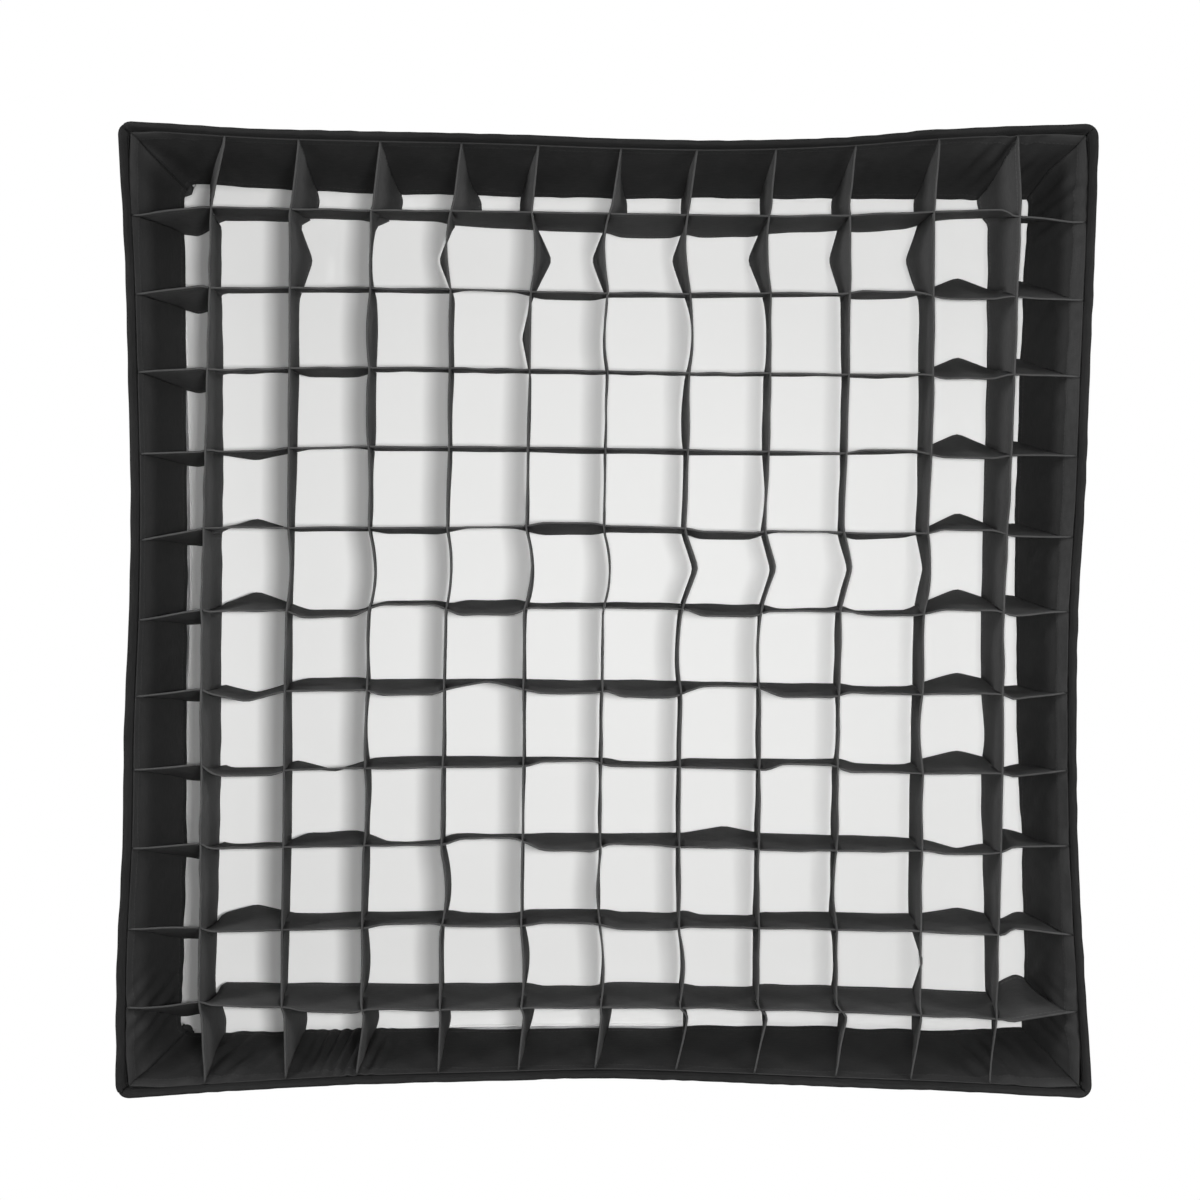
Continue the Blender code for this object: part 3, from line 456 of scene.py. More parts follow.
def spun(profile, steps, matrix, closed=True, turn=2 * math.pi, start=0.0):
    """Turned shape of a profile of (radius, height) corners, about the matrix's Z axis."""
    shape = bmesh.new()
    verts = [shape.verts.new((r * math.cos(start), r * math.sin(start), h)) for r, h in profile]
    pairs = list(zip(verts, verts[1:]))
    if closed:
        pairs.append((verts[-1], verts[0]))
    edges = [shape.edges.new(pair) for pair in pairs]
    full = math.isclose(turn, 2 * math.pi)
    if not full:
        cap = shape.faces.new(verts)
        edges = [*edges, cap]
    bmesh.ops.spin(
        shape, geom=[*verts, *edges], cent=(0, 0, 0), axis=(0, 0, 1), angle=turn, steps=steps, use_merge=full
    )
    bmesh.ops.remove_doubles(shape, verts=shape.verts, dist=1e-7)
    bmesh.ops.dissolve_degenerate(shape, edges=shape.edges, dist=1e-7)
    bmesh.ops.transform(shape, matrix=matrix, verts=shape.verts)
    return shape


def slab(outline, thickness, matrix, edge=0.0, segments=2):
    """Flat outline drawn up along the matrix's Z axis, with rounded rims."""
    shape = bmesh.new()
    floor = shape.faces.new([shape.verts.new((x, y, -thickness / 2)) for x, y in outline])
    drawn = bmesh.ops.extrude_face_region(shape, geom=[floor])
    top = [item for item in drawn["geom"] if isinstance(item, bmesh.types.BMVert)]
    bmesh.ops.translate(shape, vec=(0, 0, thickness), verts=top)
    if edge:
        rims = [e for e in shape.edges if abs(e.verts[0].co.z - e.verts[1].co.z) < 1e-9]
        bmesh.ops.bevel(
            shape, geom=rims, offset=edge, affect="EDGES", segments=segments, profile=0.5, material=-1
        )
    bmesh.ops.transform(shape, matrix=matrix, verts=shape.verts)
    return shape


def arc(radius, start_deg, end_deg, count, centre=(0, 0)):
    angles = np.radians(np.linspace(start_deg, end_deg, count))
    return [(centre[0] + radius * math.cos(a), centre[1] + radius * math.sin(a)) for a in angles]


# Places on the shell


def turned_to_side(side, along, out, y):
    """Points from places along a side, how far out they lie, and their Y."""
    angle = np.asarray(side) * math.pi / 2
    along, out, y, angle = np.broadcast_arrays(along, out, y, angle)
    x = along * np.cos(angle) + out * np.sin(angle)
    z = out * np.cos(angle) - along * np.sin(angle)
    return np.stack([x, y, z], axis=-1)


def shell_half(depth):
    """Half the shell's outer width at its corners, at a depth behind the front edge."""
    bend = (REAR_SLOPE - FRONT_SLOPE) / (2 * SHELL_LENGTH)
    return FRONT_HALF - FRONT_SLOPE * depth - bend * depth * depth


def shell_place(side, share, angle_deg, depth, inset):
    """Along and out of places on the shell; the angle is at a corner, where the share is 1 or -1."""
    half = shell_half(depth) - CORNER_R
    even = mix(FRONT_SAG, REAR_SAG, depth / SHELL_LENGTH) * (1 - share * share)
    excess = MM * FRONT_EDGE[side](share) - FRONT_SAG * (1 - share * share)
    reach = np.where(excess > 0, *EDGE_REACH)
    near_edge = np.clip(1 - depth / EDGE_REACH[0], 0, 1) ** 2
    before, after = FRONT_EDGE[(side - 1) % 4], FRONT_EDGE[(side + 1) % 4]
    start = half - MM * before(1.0) * near_edge
    end = half - MM * after(-1.0) * near_edge
    radius = CORNER_R - inset
    angle = np.radians(angle_deg)
    along = mix(-start, end, (share + 1) / 2) + np.sign(share) * radius * np.sin(angle)
    drawn_in = even + excess * np.clip(1 - depth / reach, 0, 1) ** 2
    return along, half + radius * np.cos(angle) - drawn_in


def side_stations(steps, corner_deg=(45.0, 30.0, 15.0)):
    """Shares and corner angles of stations along one side, from seam to seam."""
    ends = np.ones(len(corner_deg))
    shares = np.concatenate([-ends, np.linspace(-1, 1, steps + 1), ends])
    angles = np.concatenate([corner_deg, [0.0] * (steps + 1), corner_deg[::-1]])
    return shares, angles


def ring_points(profile, steps, wrinkle=None):
    """Points, pattern, length and width of a tape that runs right round, from (inset, depth) places."""
    shares, angles = side_stations(steps)
    insets, depths = (np.array(column) for column in zip(*profile))
    rounds = []
    for side in range(4):
        share, angle = shares[:, None], angles[:, None]
        along, out = shell_place(side, share, angle, depths[None, :], insets[None, :])
        if wrinkle:
            out = out + wrinkle(side, along, depths[None, :])
        rounds.append(turned_to_side(side, along, out, FRONT_Y + depths[None, :]))
    points = np.concatenate([*rounds, rounds[0][:1]])
    across = np.concatenate([[0], np.cumsum(np.hypot(np.diff(insets), np.diff(depths)))])
    middle = points[:, len(profile) // 2]
    length = np.concatenate([[0], np.cumsum(np.linalg.norm(np.diff(middle, axis=0), axis=1))])
    cut = np.stack(np.broadcast_arrays(length[:, None], across[None, :]), axis=-1)
    return points, cut, float(length[-1]), float(across[-1])


def rod_point(corner, depth):
    """Point on a rod's axis, which runs along the centre of the shell's corner."""
    side_x, side_z = CORNERS[corner]
    reach = shell_half(depth) - CORNER_R
    return Vector((side_x * reach, FRONT_Y + depth, side_z * reach))


def rod_at_rear(corner, y):
    """Point on the straight rear end of a rod."""
    side_x, side_z = CORNERS[corner]
    reach = REAR_HALF - CORNER_R - REAR_SLOPE * (y - REAR_Y)
    return Vector((side_x * reach, y, side_z * reach))


def along_line(start, end):
    """Matrix at the start whose Z axis points to the end."""
    turn = (Vector(end) - Vector(start)).to_track_quat("Z", "Y").to_matrix().to_4x4()
    return Matrix.Translation(start) @ turn


# Grid


def border_out(side, along, depth):
    """How far out the border's cloth lies, at a place along a side and a share of its depth."""
    share = np.clip(along / BORDER_END, -1, 1)
    lip = BORDER_LIP_MM[side] + BORDER_CORNER_LIP_MM * share**8
    front = FRONT_HALF - MM * (FRONT_EDGE[side](share) + lip)
    turned_out = mix(BORDER_LIP_SHARE[side], BORDER_CORNER_LIP_SHARE, share**8)
    back_of_lip = np.clip((depth - BORDER_LIP_DEPTH) / (1 - BORDER_LIP_DEPTH), 0, 1)
    drawn_in = mix(turned_out * np.clip(depth / BORDER_LIP_DEPTH, 0, 1), 1, back_of_lip)
    back = MM * BORDER_BACK[side](along / BORDER_BACK_SPAN)
    return under_shell(side, along, depth, mix(front, back, drawn_in))


def border_corner(side, sign, depth):
    """How far out the border lies at one of its mitred ends, where it passes the rod's tip."""
    past_tip = np.interp(depth, (0, 0.5, 1), BORDER_CORNER_HALF)
    return np.minimum(border_out(side, sign * BORDER_END, depth), past_tip)


def under_shell(side, along, depth, out):
    """The same place out, or just inside the shell where that is nearer."""
    share = np.clip(along / BORDER_SHELL_SPAN, -1, 1)
    shell = shell_place(side, share, 0 * share, mix(*BORDER_DEPTHS, depth), BORDER_UNDER_SHELL)[1]
    return np.minimum(out, shell)


def hem_weights(depth):
    """One in the hems along both edges of the grid's cloth, and zero between them."""
    return np.where((depth < HEM_SHARE) | (depth > 1 - HEM_SHARE), 1.0, 0.0)


class GridStrip:
    """A column or a row of the grid: where its cloth lies along its length and through its depth."""

    samples = np.linspace(-0.30, 0.30, 1201)
    softening = np.exp(-0.5 * (np.arange(-12, 13) / 4.0) ** 2)

    def __init__(self, number, vertical):
        i = number - 1
        self.number = number
        self.vertical = vertical
        self.peaks = [0.5] * (STRIPS - 1)
        if vertical:
            self.base = CROSSINGS[i]
            self.peaks[PEAK_CELL - 1] = COLUMN_FOLD_PEAKS[i]
            lines = (COLUMN_FRONT_LINES, COLUMN_BACK_LINES)
            folds = (COLUMN_FRONT_FOLDS, COLUMN_BACK_FOLDS)
            first, last = COLUMN_TOP_ENDS[i], COLUMN_BOTTOM_ENDS[i]
        else:
            self.base = -CROSSINGS[i]
            lines = (ROW_FRONT_LINES, ROW_BACK_LINES)
            folds = (ROW_FRONT_FOLDS, ROW_BACK_FOLDS)
            first, last = ROW_LEFT_ENDS[i], ROW_RIGHT_ENDS[i]
        front_line, back_line = (edge[i] for edge in lines)
        front_folds, back_folds = (edge.get(number, {}) for edge in folds)
        self.front = self.edge(front_line, front_folds, first[1::-1], last[1::-1], FRONT_END_PLACES)
        self.back = self.edge(back_line, back_folds, first[:1:-1], last[:1:-1], BACK_END_PLACES)

    def fold(self, share, height, peak):
        """Bulge of the cloth across one cell: a sharp fold, a bow, or a flat boat shape."""
        if abs(height) >= SHARP_FOLD_MM:
            return height * np.minimum(share / peak, (1 - share) / (1 - peak))
        if self.vertical:
            return height * 4 * share * (1 - share)
        return height * np.minimum(1, np.minimum(share, 1 - share) / FLAT_FROM)

    def edge(self, line, folds, first_end, last_end, end_places):
        """Sideways offsets in millimetres of the front or back edge."""
        offsets = curve_through(line)(self.samples / HALF_SPAN)
        for cell, height in folds.items():
            share = (self.samples - CROSSINGS[cell - 1]) / PITCH
            inside = (share >= 0) & (share <= 1)
            offsets[inside] += self.fold(share[inside], height, self.peaks[cell - 1])
        for sign, end in ((-1, first_end), (1, last_end)):
            outside = sign * self.samples > HALF_SPAN
            offsets[outside] = np.interp(np.abs(self.samples[outside]), end_places, end)
        padded = np.pad(offsets, len(self.softening) // 2, mode="edge")
        return np.convolve(padded, self.softening / self.softening.sum(), "valid")

    def across(self, along, depth):
        """Where the middle of the cloth lies across the strip's run."""
        front = np.interp(along, self.samples, self.front)
        back = np.interp(along, self.samples, self.back)
        return self.base + MM * mix(front, back, depth)

    def end(self, sign, depth):
        """Where the strip stops, sewn to the inside of the border."""
        side = (0 if sign < 0 else 2) if self.vertical else (3 if sign < 0 else 1)
        across = self.across(sign * BORDER_BACK_HALF, depth)
        along = across if side in (0, 3) else -across
        return sign * (border_out(side, along, depth) - STRIP_END_GAP)

    def crossing(self, other, k, depth):
        """Place along the strip where it meets the k-th strip of the other direction."""
        meeting = self.across(CROSSINGS[k], depth)
        across = other.across(-meeting if other.vertical else meeting, depth)
        return -across if self.vertical else across

    def mesh(self, others, crease):
        """Slotted mesh of the strip, its flat pattern and its hems."""
        slot_edge = COLUMN_SLOT_FROM if self.vertical else ROW_SLOT_TO
        levels = np.array([0, 0.012, 0.065, 0.09, 0.2, 0.34, slot_edge, 0.66, 0.8, 0.91, 0.935, 0.988, 1])
        stops = [self.end(-1, levels)]
        for k, other in enumerate(others):
            middle = self.crossing(other, k, levels)
            stops += [middle - SLOT_GAP / 2, middle + SLOT_GAP / 2]
        stops.append(self.end(1, levels))
        lines, openings = [], set()
        open_rows = [j for j, level in enumerate(levels[:-1]) if (level >= slot_edge) == self.vertical]
        for k, (start, end) in enumerate(zip(stops, stops[1:])):
            if k % 2:
                openings |= {(len(lines), j) for j in open_rows}
                lines.append(start)
            else:
                lines += [mix(start, end, share) for share in np.arange(CELL_STEPS) / CELL_STEPS]
        lines = np.array([*lines, stops[-1]])
        depth = np.broadcast_to(levels, lines.shape)
        seed = self.number + (40 if self.vertical else 70)
        wrinkle = crease * creases(seed, lines, depth * STRIP_DEPTH, 0.035)
        across = self.across(lines, depth) + wrinkle
        y = FRONT_Y + GRID_DEPTH + depth * STRIP_DEPTH + crease * creases(seed + 100, lines, depth, 0.06)
        points = np.stack([across, y, -lines] if self.vertical else [lines, y, across], axis=-1)
        cut = np.stack([lines, depth * STRIP_DEPTH], axis=-1)
        name = f"{'column' if self.vertical else 'row'}_cloth_{self.number:02d}"
        return sewn_mesh(name, points, cut, hem_weights(depth), openings)


# Finishes


def add_node(tree, kind, inputs=None, **settings):
    """A shader node with its settings; an input is a value or another node's socket."""
    node = tree.nodes.new("ShaderNode" + kind)
    for name, value in settings.items():
        setattr(node, name, value)
    for name, value in (inputs or {}).items():
        if isinstance(value, bpy.types.NodeSocket):
            tree.links.new(value, node.inputs[name])
        else:
            node.inputs[name].default_value = value
    return node


def maths(tree, operation, first, second=0.0):
    return add_node(tree, "Math", {0: first, 1: second}, operation=operation).outputs[0]


def between(tree, value, low, high, start=0.0, end=1.0):
    """Value moved from the range low to high into start to end, and kept inside it."""
    inputs = {"Value": value, "From Min": low, "From Max": high, "To Min": start, "To Max": end}
    return add_node(tree, "MapRange", inputs).outputs["Result"]


def two_tones(tree, share, first, second):
    """Colour that goes from the first to the second."""
    return add_node(tree, "Mix", {0: share, 6: first, 7: second}, data_type="RGBA").outputs[2]


def effect(name, inputs, outputs):
    """A new node group; inputs are (name, kind, default) and outputs are names of values."""
    group = bpy.data.node_groups.new(name, "ShaderNodeTree")
    for label, kind, default in inputs:
        socket = group.interface.new_socket(label, in_out="INPUT", socket_type="NodeSocket" + kind)
        if default is not None:
            socket.default_value = default
    for label in outputs:
        group.interface.new_socket(label, in_out="OUTPUT", socket_type="NodeSocketFloat")
    return group, group.nodes.new("NodeGroupInput").outputs, group.nodes.new("NodeGroupOutput").inputs


def weave_effect():
    """Over-and-under threads, with thicker slubs among them."""
    inputs = [("Pattern", "Vector", None), ("Threads", "Float", 1800.0), ("Slub", "Float", 0.5)]
    group, given, result = effect("plain_weave", inputs, ("Height", "Tone"))
    axes = add_node(group, "SeparateXYZ", {0: given["Pattern"]}).outputs
    pace = maths(group, "MULTIPLY", given["Threads"], math.pi)
    warp = maths(group, "SINE", maths(group, "MULTIPLY", axes["X"], pace))
    weft = maths(group, "SINE", maths(group, "MULTIPLY", axes["Y"], pace))
    stretch = add_node(group, "CombineXYZ", {0: axes["X"], 1: maths(group, "MULTIPLY", axes["Y"], 7.0)})
    scale = maths(group, "MULTIPLY", given["Threads"], 0.09)
    noise = {"Vector": stretch.outputs[0], "Scale": scale, "Detail": 3.0}
    slub = add_node(group, "TexNoise", noise).outputs["Fac"]
    over = maths(group, "MULTIPLY", maths(group, "MULTIPLY", warp, weft), 0.5)
    height = maths(group, "ADD", over, maths(group, "MULTIPLY", slub, given["Slub"]))
    group.links.new(height, result["Height"])
    group.links.new(between(group, slub, 0.3, 0.7), result["Tone"])
    return group


def stitch_effect():
    """One row of sewn stitches at a distance across the cloth."""
    inputs = [("Pattern", "Vector", None), ("Row", "Float", 0.003), ("Pitch", "Float", 0.0028)]
    group, given, result = effect("stitch_row", inputs, ("Thread",))
    axes = add_node(group, "SeparateXYZ", {0: given["Pattern"]}).outputs
    away = maths(group, "ABSOLUTE", maths(group, "SUBTRACT", axes["Y"], given["Row"]))
    line = between(group, away, 0.00055, 0.0002)
    step = maths(group, "FRACT", maths(group, "DIVIDE", axes["X"], given["Pitch"]))
    dash = between(group, maths(group, "ABSOLUTE", maths(group, "SUBTRACT", step, 0.5)), 0.40, 0.30)
    group.links.new(maths(group, "MULTIPLY", line, dash), result["Thread"])
    return group


def patches_effect():
    """Soft uneven patches, as of dust, handling and tension."""
    inputs = [("Place", "Vector", None), ("Size", "Float", 0.08)]
    group, given, result = effect("uneven_patches", inputs, ("Patch",))
    scale = maths(group, "DIVIDE", 1.0, given["Size"])
    noise = {"Vector": given["Place"], "Scale": scale, "Detail": 4.0}
    broad = add_node(group, "TexNoise", noise).outputs["Fac"]
    group.links.new(between(group, broad, 0.32, 0.68), result["Patch"])
    return group


def effect_node(tree, maker, inputs):
    """A shared effect, made on its first use."""
    names = {weave_effect: "plain_weave", stitch_effect: "stitch_row", patches_effect: "uneven_patches"}
    group = bpy.data.node_groups.get(names[maker]) or maker()
    return add_node(tree, "Group", inputs, node_tree=group).outputs


def shaded(colour, factor):
    return (*(min(1.0, channel * factor) for channel in colour), 1.0)


def new_finish(name):
    material = bpy.data.materials.new(name)
    material.use_nodes = True
    tree = material.node_tree
    return material, tree, tree.nodes["Principled BSDF"], add_node(tree, "TexCoord").outputs


def made_once(make):
    """Finish that is made on its first use, and found by its name after that."""

    def finish(name, colours):
        return bpy.data.materials.get(name) or make(name, colours)

    return finish


def mixed_tone(tree, first, first_share, second):
    """Value made of a share of the first, and the rest of the second."""
    rest = maths(tree, "MULTIPLY", second, 1 - first_share)
    return maths(tree, "ADD", maths(tree, "MULTIPLY", first, first_share), rest)


def patches(tree, place, size):
    return effect_node(tree, patches_effect, {"Place": place["Object"], "Size": size})["Patch"]


def dress(tree, shader, base, rough, height, strength, distance):
    """Gives a finish its colour, its roughness and the relief of its surface."""
    tree.links.new(base, shader.inputs["Base Color"])
    tree.links.new(rough, shader.inputs["Roughness"])
    relief = add_node(tree, "Bump", {"Height": height, "Strength": strength, "Distance": distance})
    tree.links.new(relief.outputs["Normal"], shader.inputs["Normal"])


class Cloth(NamedTuple):
    """Looks of a woven cloth: stitches are rows at distances across it, and threads are to a metre."""

    colour: str
    threads: float
    stitches: tuple = ()
    contrast: float = 0.22
    bump: float = 0.3
    specular: float = 0.06
    gloss: float = 0.72
    sheen: float = 0.0


CLOTHS = {
    "grid_cloth": Cloth("grid_cloth", 1900.0, (0.0032, 0.0418)),
    "border_cloth": Cloth("border_cloth", 1900.0, (0.0045, 0.0465), 0.25, specular=0.16, gloss=0.50),
    "white_cloth": Cloth("diffuser", 2200.0, (0.006,), 0.012, 0.12, 0.3),
    "shell_cloth": Cloth("shell_cloth", 1500.0, (), 0.25, 0.4, 0.3, 0.62),
    "seam_tape": Cloth("tape", 1300.0, (0.0018, 0.0094), 0.25, 0.5, 0.12),
    "binding_tape": Cloth("tape", 1300.0, (0.0035, 0.0165), 0.25, 0.5, 0.04),
    "loop_pile": Cloth("tape", 700.0, (0.0012, 0.0122), 0.4, 1.0, 0.1, 0.8, 0.3),
    "strap_webbing": Cloth("tape", 900.0, (0.0012, 0.0068), 0.3, 0.8, 0.25),
}


class Solid(NamedTuple):
    """Looks of a coated, drawn or moulded surface; brushed stretches its grain."""

    colour: str
    rough: float
    grain: float
    bump: float
    metallic: float = 0.0
    brushed: tuple = (1, 1, 1)


SOLIDS = {
    "pocket_cloth": Solid("tape", 0.8, 1500.0, 0.6),
    "rod_steel": Solid("steel", 0.34, 900.0, 0.12, 1.0, (6, 0.5, 6)),
    "moulded_plastic": Solid("plastic", 0.48, 1600.0, 0.25),
    "ring_coating": Solid("ring", 0.46, 2200.0, 0.35, 0.35),
}

# Turned metals: colour and roughness
TURNED = {"turned_metal": ("insert", 0.30), "spring_steel": ("steel", 0.34)}


@made_once
def cloth_finish(name, colours):
    """Woven cloth on the piece's flat pattern."""
    looks = CLOTHS[name]
    colour = getattr(colours, looks.colour)
    material, tree, shader, place = new_finish(name)
    weave = effect_node(tree, weave_effect, {"Pattern": place["UV"], "Threads": looks.threads})
    tone = mixed_tone(tree, weave["Tone"], 0.45, patches(tree, place, 0.07))
    base = two_tones(tree, tone, shaded(colour, 1 - looks.contrast), shaded(colour, 1 + looks.contrast))
    height = weave["Height"]
    for row in looks.stitches:
        thread = effect_node(tree, stitch_effect, {"Pattern": place["UV"], "Row": row})["Thread"]
        base = two_tones(tree, maths(tree, "MULTIPLY", thread, 0.6), base, shaded(colour, 1.9))
        height = maths(tree, "ADD", height, maths(tree, "MULTIPLY", thread, 1.6))
    rough = between(tree, tone, 0.0, 1.0, looks.gloss + 0.16, looks.gloss)
    dress(tree, shader, base, rough, height, looks.bump, 0.0003)
    shader.inputs["Specular IOR Level"].default_value = looks.specular
    if looks.sheen:
        shader.inputs["Sheen Weight"].default_value = looks.sheen
        shader.inputs["Sheen Roughness"].default_value = 0.5
    return material


@made_once
def lining_finish(name, colours):
    """Silver coated lining, crinkled and half glossy."""
    material, tree, shader, place = new_finish(name)
    weave = effect_node(tree, weave_effect, {"Pattern": place["UV"], "Threads": 1100.0, "Slub": 1.2})
    patch = patches(tree, place, 0.03)
    base = two_tones(tree, patch, shaded(colours.lining, 0.86), shaded(colours.lining, 1.08))
    height = maths(tree, "ADD", weave["Height"], maths(tree, "MULTIPLY", patch, 2.5))
    dress(tree, shader, base, between(tree, patch, 0.0, 1.0, 0.42, 0.55), height, 0.35, 0.0004)
    shader.inputs["Metallic"].default_value = 0.75
    return material


@made_once
def solid_finish(name, colours):
    """Coated, drawn or moulded finish on Object coordinates, paler at worn edges."""
    looks = SOLIDS[name]
    colour = getattr(colours, looks.colour)
    material, tree, shader, place = new_finish(name)
    stretch = add_node(tree, "Mapping", {"Vector": place["Object"], "Scale": looks.brushed}).outputs[0]
    noise = {"Vector": stretch, "Scale": looks.grain, "Detail": 3.0}
    fine = add_node(tree, "TexNoise", noise).outputs["Fac"]
    edge = between(tree, add_node(tree, "NewGeometry").outputs["Pointiness"], 0.53, 0.60)
    tone = mixed_tone(tree, fine, 0.5, patches(tree, place, 0.02))
    base = two_tones(tree, tone, shaded(colour, 0.82), shaded(colour, 1.16))
    base = two_tones(tree, maths(tree, "MULTIPLY", edge, 0.4), base, shaded(colour, 2.0))
    rough = between(tree, tone, 0.2, 0.8, looks.rough + 0.08, looks.rough - 0.06)
    dress(tree, shader, base, rough, fine, looks.bump, 0.0002)
    shader.inputs["Metallic"].default_value = looks.metallic
    return material


@made_once
def turned_finish(name, colours):
    """Turned metal whose fine tool marks run round the Y axis."""
    part, rough = TURNED[name]
    colour = getattr(colours, part)
    material, tree, shader, place = new_finish(name)
    axes = add_node(tree, "SeparateXYZ", {0: place["Object"]}).outputs
    x_squared, z_squared = (maths(tree, "MULTIPLY", axes[axis], axes[axis]) for axis in "XZ")
    radius = maths(tree, "SQRT", maths(tree, "ADD", x_squared, z_squared))
    marks = add_node(tree, "CombineXYZ", {0: radius, 1: axes["Y"]}).outputs[0]
    fine = add_node(tree, "TexNoise", {"Vector": marks, "Scale": 2600.0, "Detail": 2.0}).outputs["Fac"]
    tone = mixed_tone(tree, fine, 0.6, patches(tree, place, 0.025))
    base = two_tones(tree, tone, shaded(colour, 0.80), shaded(colour, 1.12))
    rough = between(tree, tone, 0.2, 0.8, rough + 0.1, rough - 0.05)
    dress(tree, shader, base, rough, fine, 0.18, 0.0001)
    shader.inputs["Metallic"].default_value = 1.0
    return material


# Operators, one for each group of pieces


class SOFTBOX_OT_grid_strips(bpy.types.Operator):
    """Sew the eleven columns and eleven rows that slot into each other"""

    bl_idname = "softbox.grid_strips"
    bl_label = "Grid Strips"

    def execute(self, context):
        sizes, colours = context.scene.softbox_sizes, context.scene.softbox_colours
        finish = cloth_finish("grid_cloth", colours)
        columns = [GridStrip(k + 1, True) for k in range(STRIPS)]
        rows = [GridStrip(k + 1, False) for k in range(STRIPS)]
        for strips, others, node in ((columns, rows, "grid_column_"), (rows, columns, "grid_row_")):
            for strip in strips:
                mesh = strip.mesh(others, sizes.crease)
                node_name = f"{node}{strip.number:02d}"
                piece = new_piece(mesh, [finish], "grid", "black_cloth", node_name)
                thicken(piece, sizes.hem, sizes.strip_cloth / sizes.hem)
        return {"FINISHED"}


class SOFTBOX_OT_grid_border(bpy.types.Operator):
    """Sew the four mitred panels that carry the ends of the grid strips"""

    bl_idname = "softbox.grid_border"
    bl_label = "Grid Border"

    stations = 441
    levels = (0, 0.012, 0.05, 0.1, 0.17, 0.25, 0.34, 0.43, 0.52, 0.61, 0.70, 0.78, 0.86, 0.93, 0.985, 1)
    scallop_mm = 0.9
    waves_mm = (0.5, 0.9, 1.2, 0.6)
    wave_length = 0.045
    pucker_mm = 0.40
    corner_pucker_mm = 0.8
    pucker_length = 0.022
    lift_height = 0.0005
    lift_length = 0.05
    pull_power = 120
    hold_power = 12

    def puckers(self, side, shares, along, depth):
        """Height in millimetres of the small creases and of the pleats in the border's cloth."""
        corner = np.clip((np.abs(shares) - 0.8) / 0.2, 0, 1)
        small = creases(side + 15, along, depth * STRIP_DEPTH, self.pucker_length)
        height = (self.pucker_mm + self.corner_pucker_mm * corner) * small
        for pleated, middle, half_width, spacing, lean, tall in BORDER_PLEATS:
            if pleated == side:
                turn = 2 * math.pi * (along - middle + lean * depth) / spacing
                near = np.exp(-(((along - middle) / half_width) ** 2))
                height = height + tall * (np.sin(turn) - 1) * near
        return height

    def panel(self, side):
        shares = np.linspace(-1, 1, self.stations)[:, None]
        depth = np.array(self.levels)[None, :]
        start = border_corner((side - 1) % 4, 1, depth)
        end = border_corner((side + 1) % 4, -1, depth)
        along = mix(-start, end, (shares + 1) / 2)
        pulled = [
            border_corner(side, sign, depth) - border_out(side, sign * BORDER_END, depth) for sign in (-1, 1)
        ]
        corner_pull = np.where(shares < 0, *pulled) * shares**self.pull_power
        scallop = self.scallop_mm * np.sin(math.pi * along / PITCH) ** 2 * (1 - depth) ** 2
        wave = self.waves_mm[side] * creases(side + 5, along, 0 * along, self.wave_length) * depth**3 * 0.6
        held_flat = 0.25 + 0.75 * np.sin(math.pi * np.clip(depth, 0.0, 1.0)) ** 0.7
        uneven = scallop + wave + self.puckers(side, shares, along, depth) * held_flat
        uneven = uneven * (1 - shares**self.hold_power)
        out = under_shell(side, along, depth, border_out(side, along, depth) + MM * uneven) + corner_pull
        lift = self.lift_height * creases(side + 25, along, 0 * along, self.lift_length) * depth
        y = FRONT_Y + mix(*BORDER_DEPTHS, depth) + lift + 0 * along
        points = turned_to_side(side, along, out, y)
        cut = np.stack(np.broadcast_arrays(along, depth * BORDER_FLAT[0]), axis=-1)
        hem = np.broadcast_to(hem_weights(depth), along.shape)
        return sewn_mesh("border_cloth_" + SIDES[side], points, cut, hem)

    def execute(self, context):
        sizes, colours = context.scene.softbox_sizes, context.scene.softbox_colours
        finish = cloth_finish("border_cloth", colours)
        for side, name in enumerate(SIDES):
            mesh = self.panel(side)
            piece = new_piece(mesh, [finish], "grid", "black_cloth", "grid_border_" + name)
            thicken(piece, sizes.hem, sizes.strip_cloth / sizes.hem)
        return {"FINISHED"}


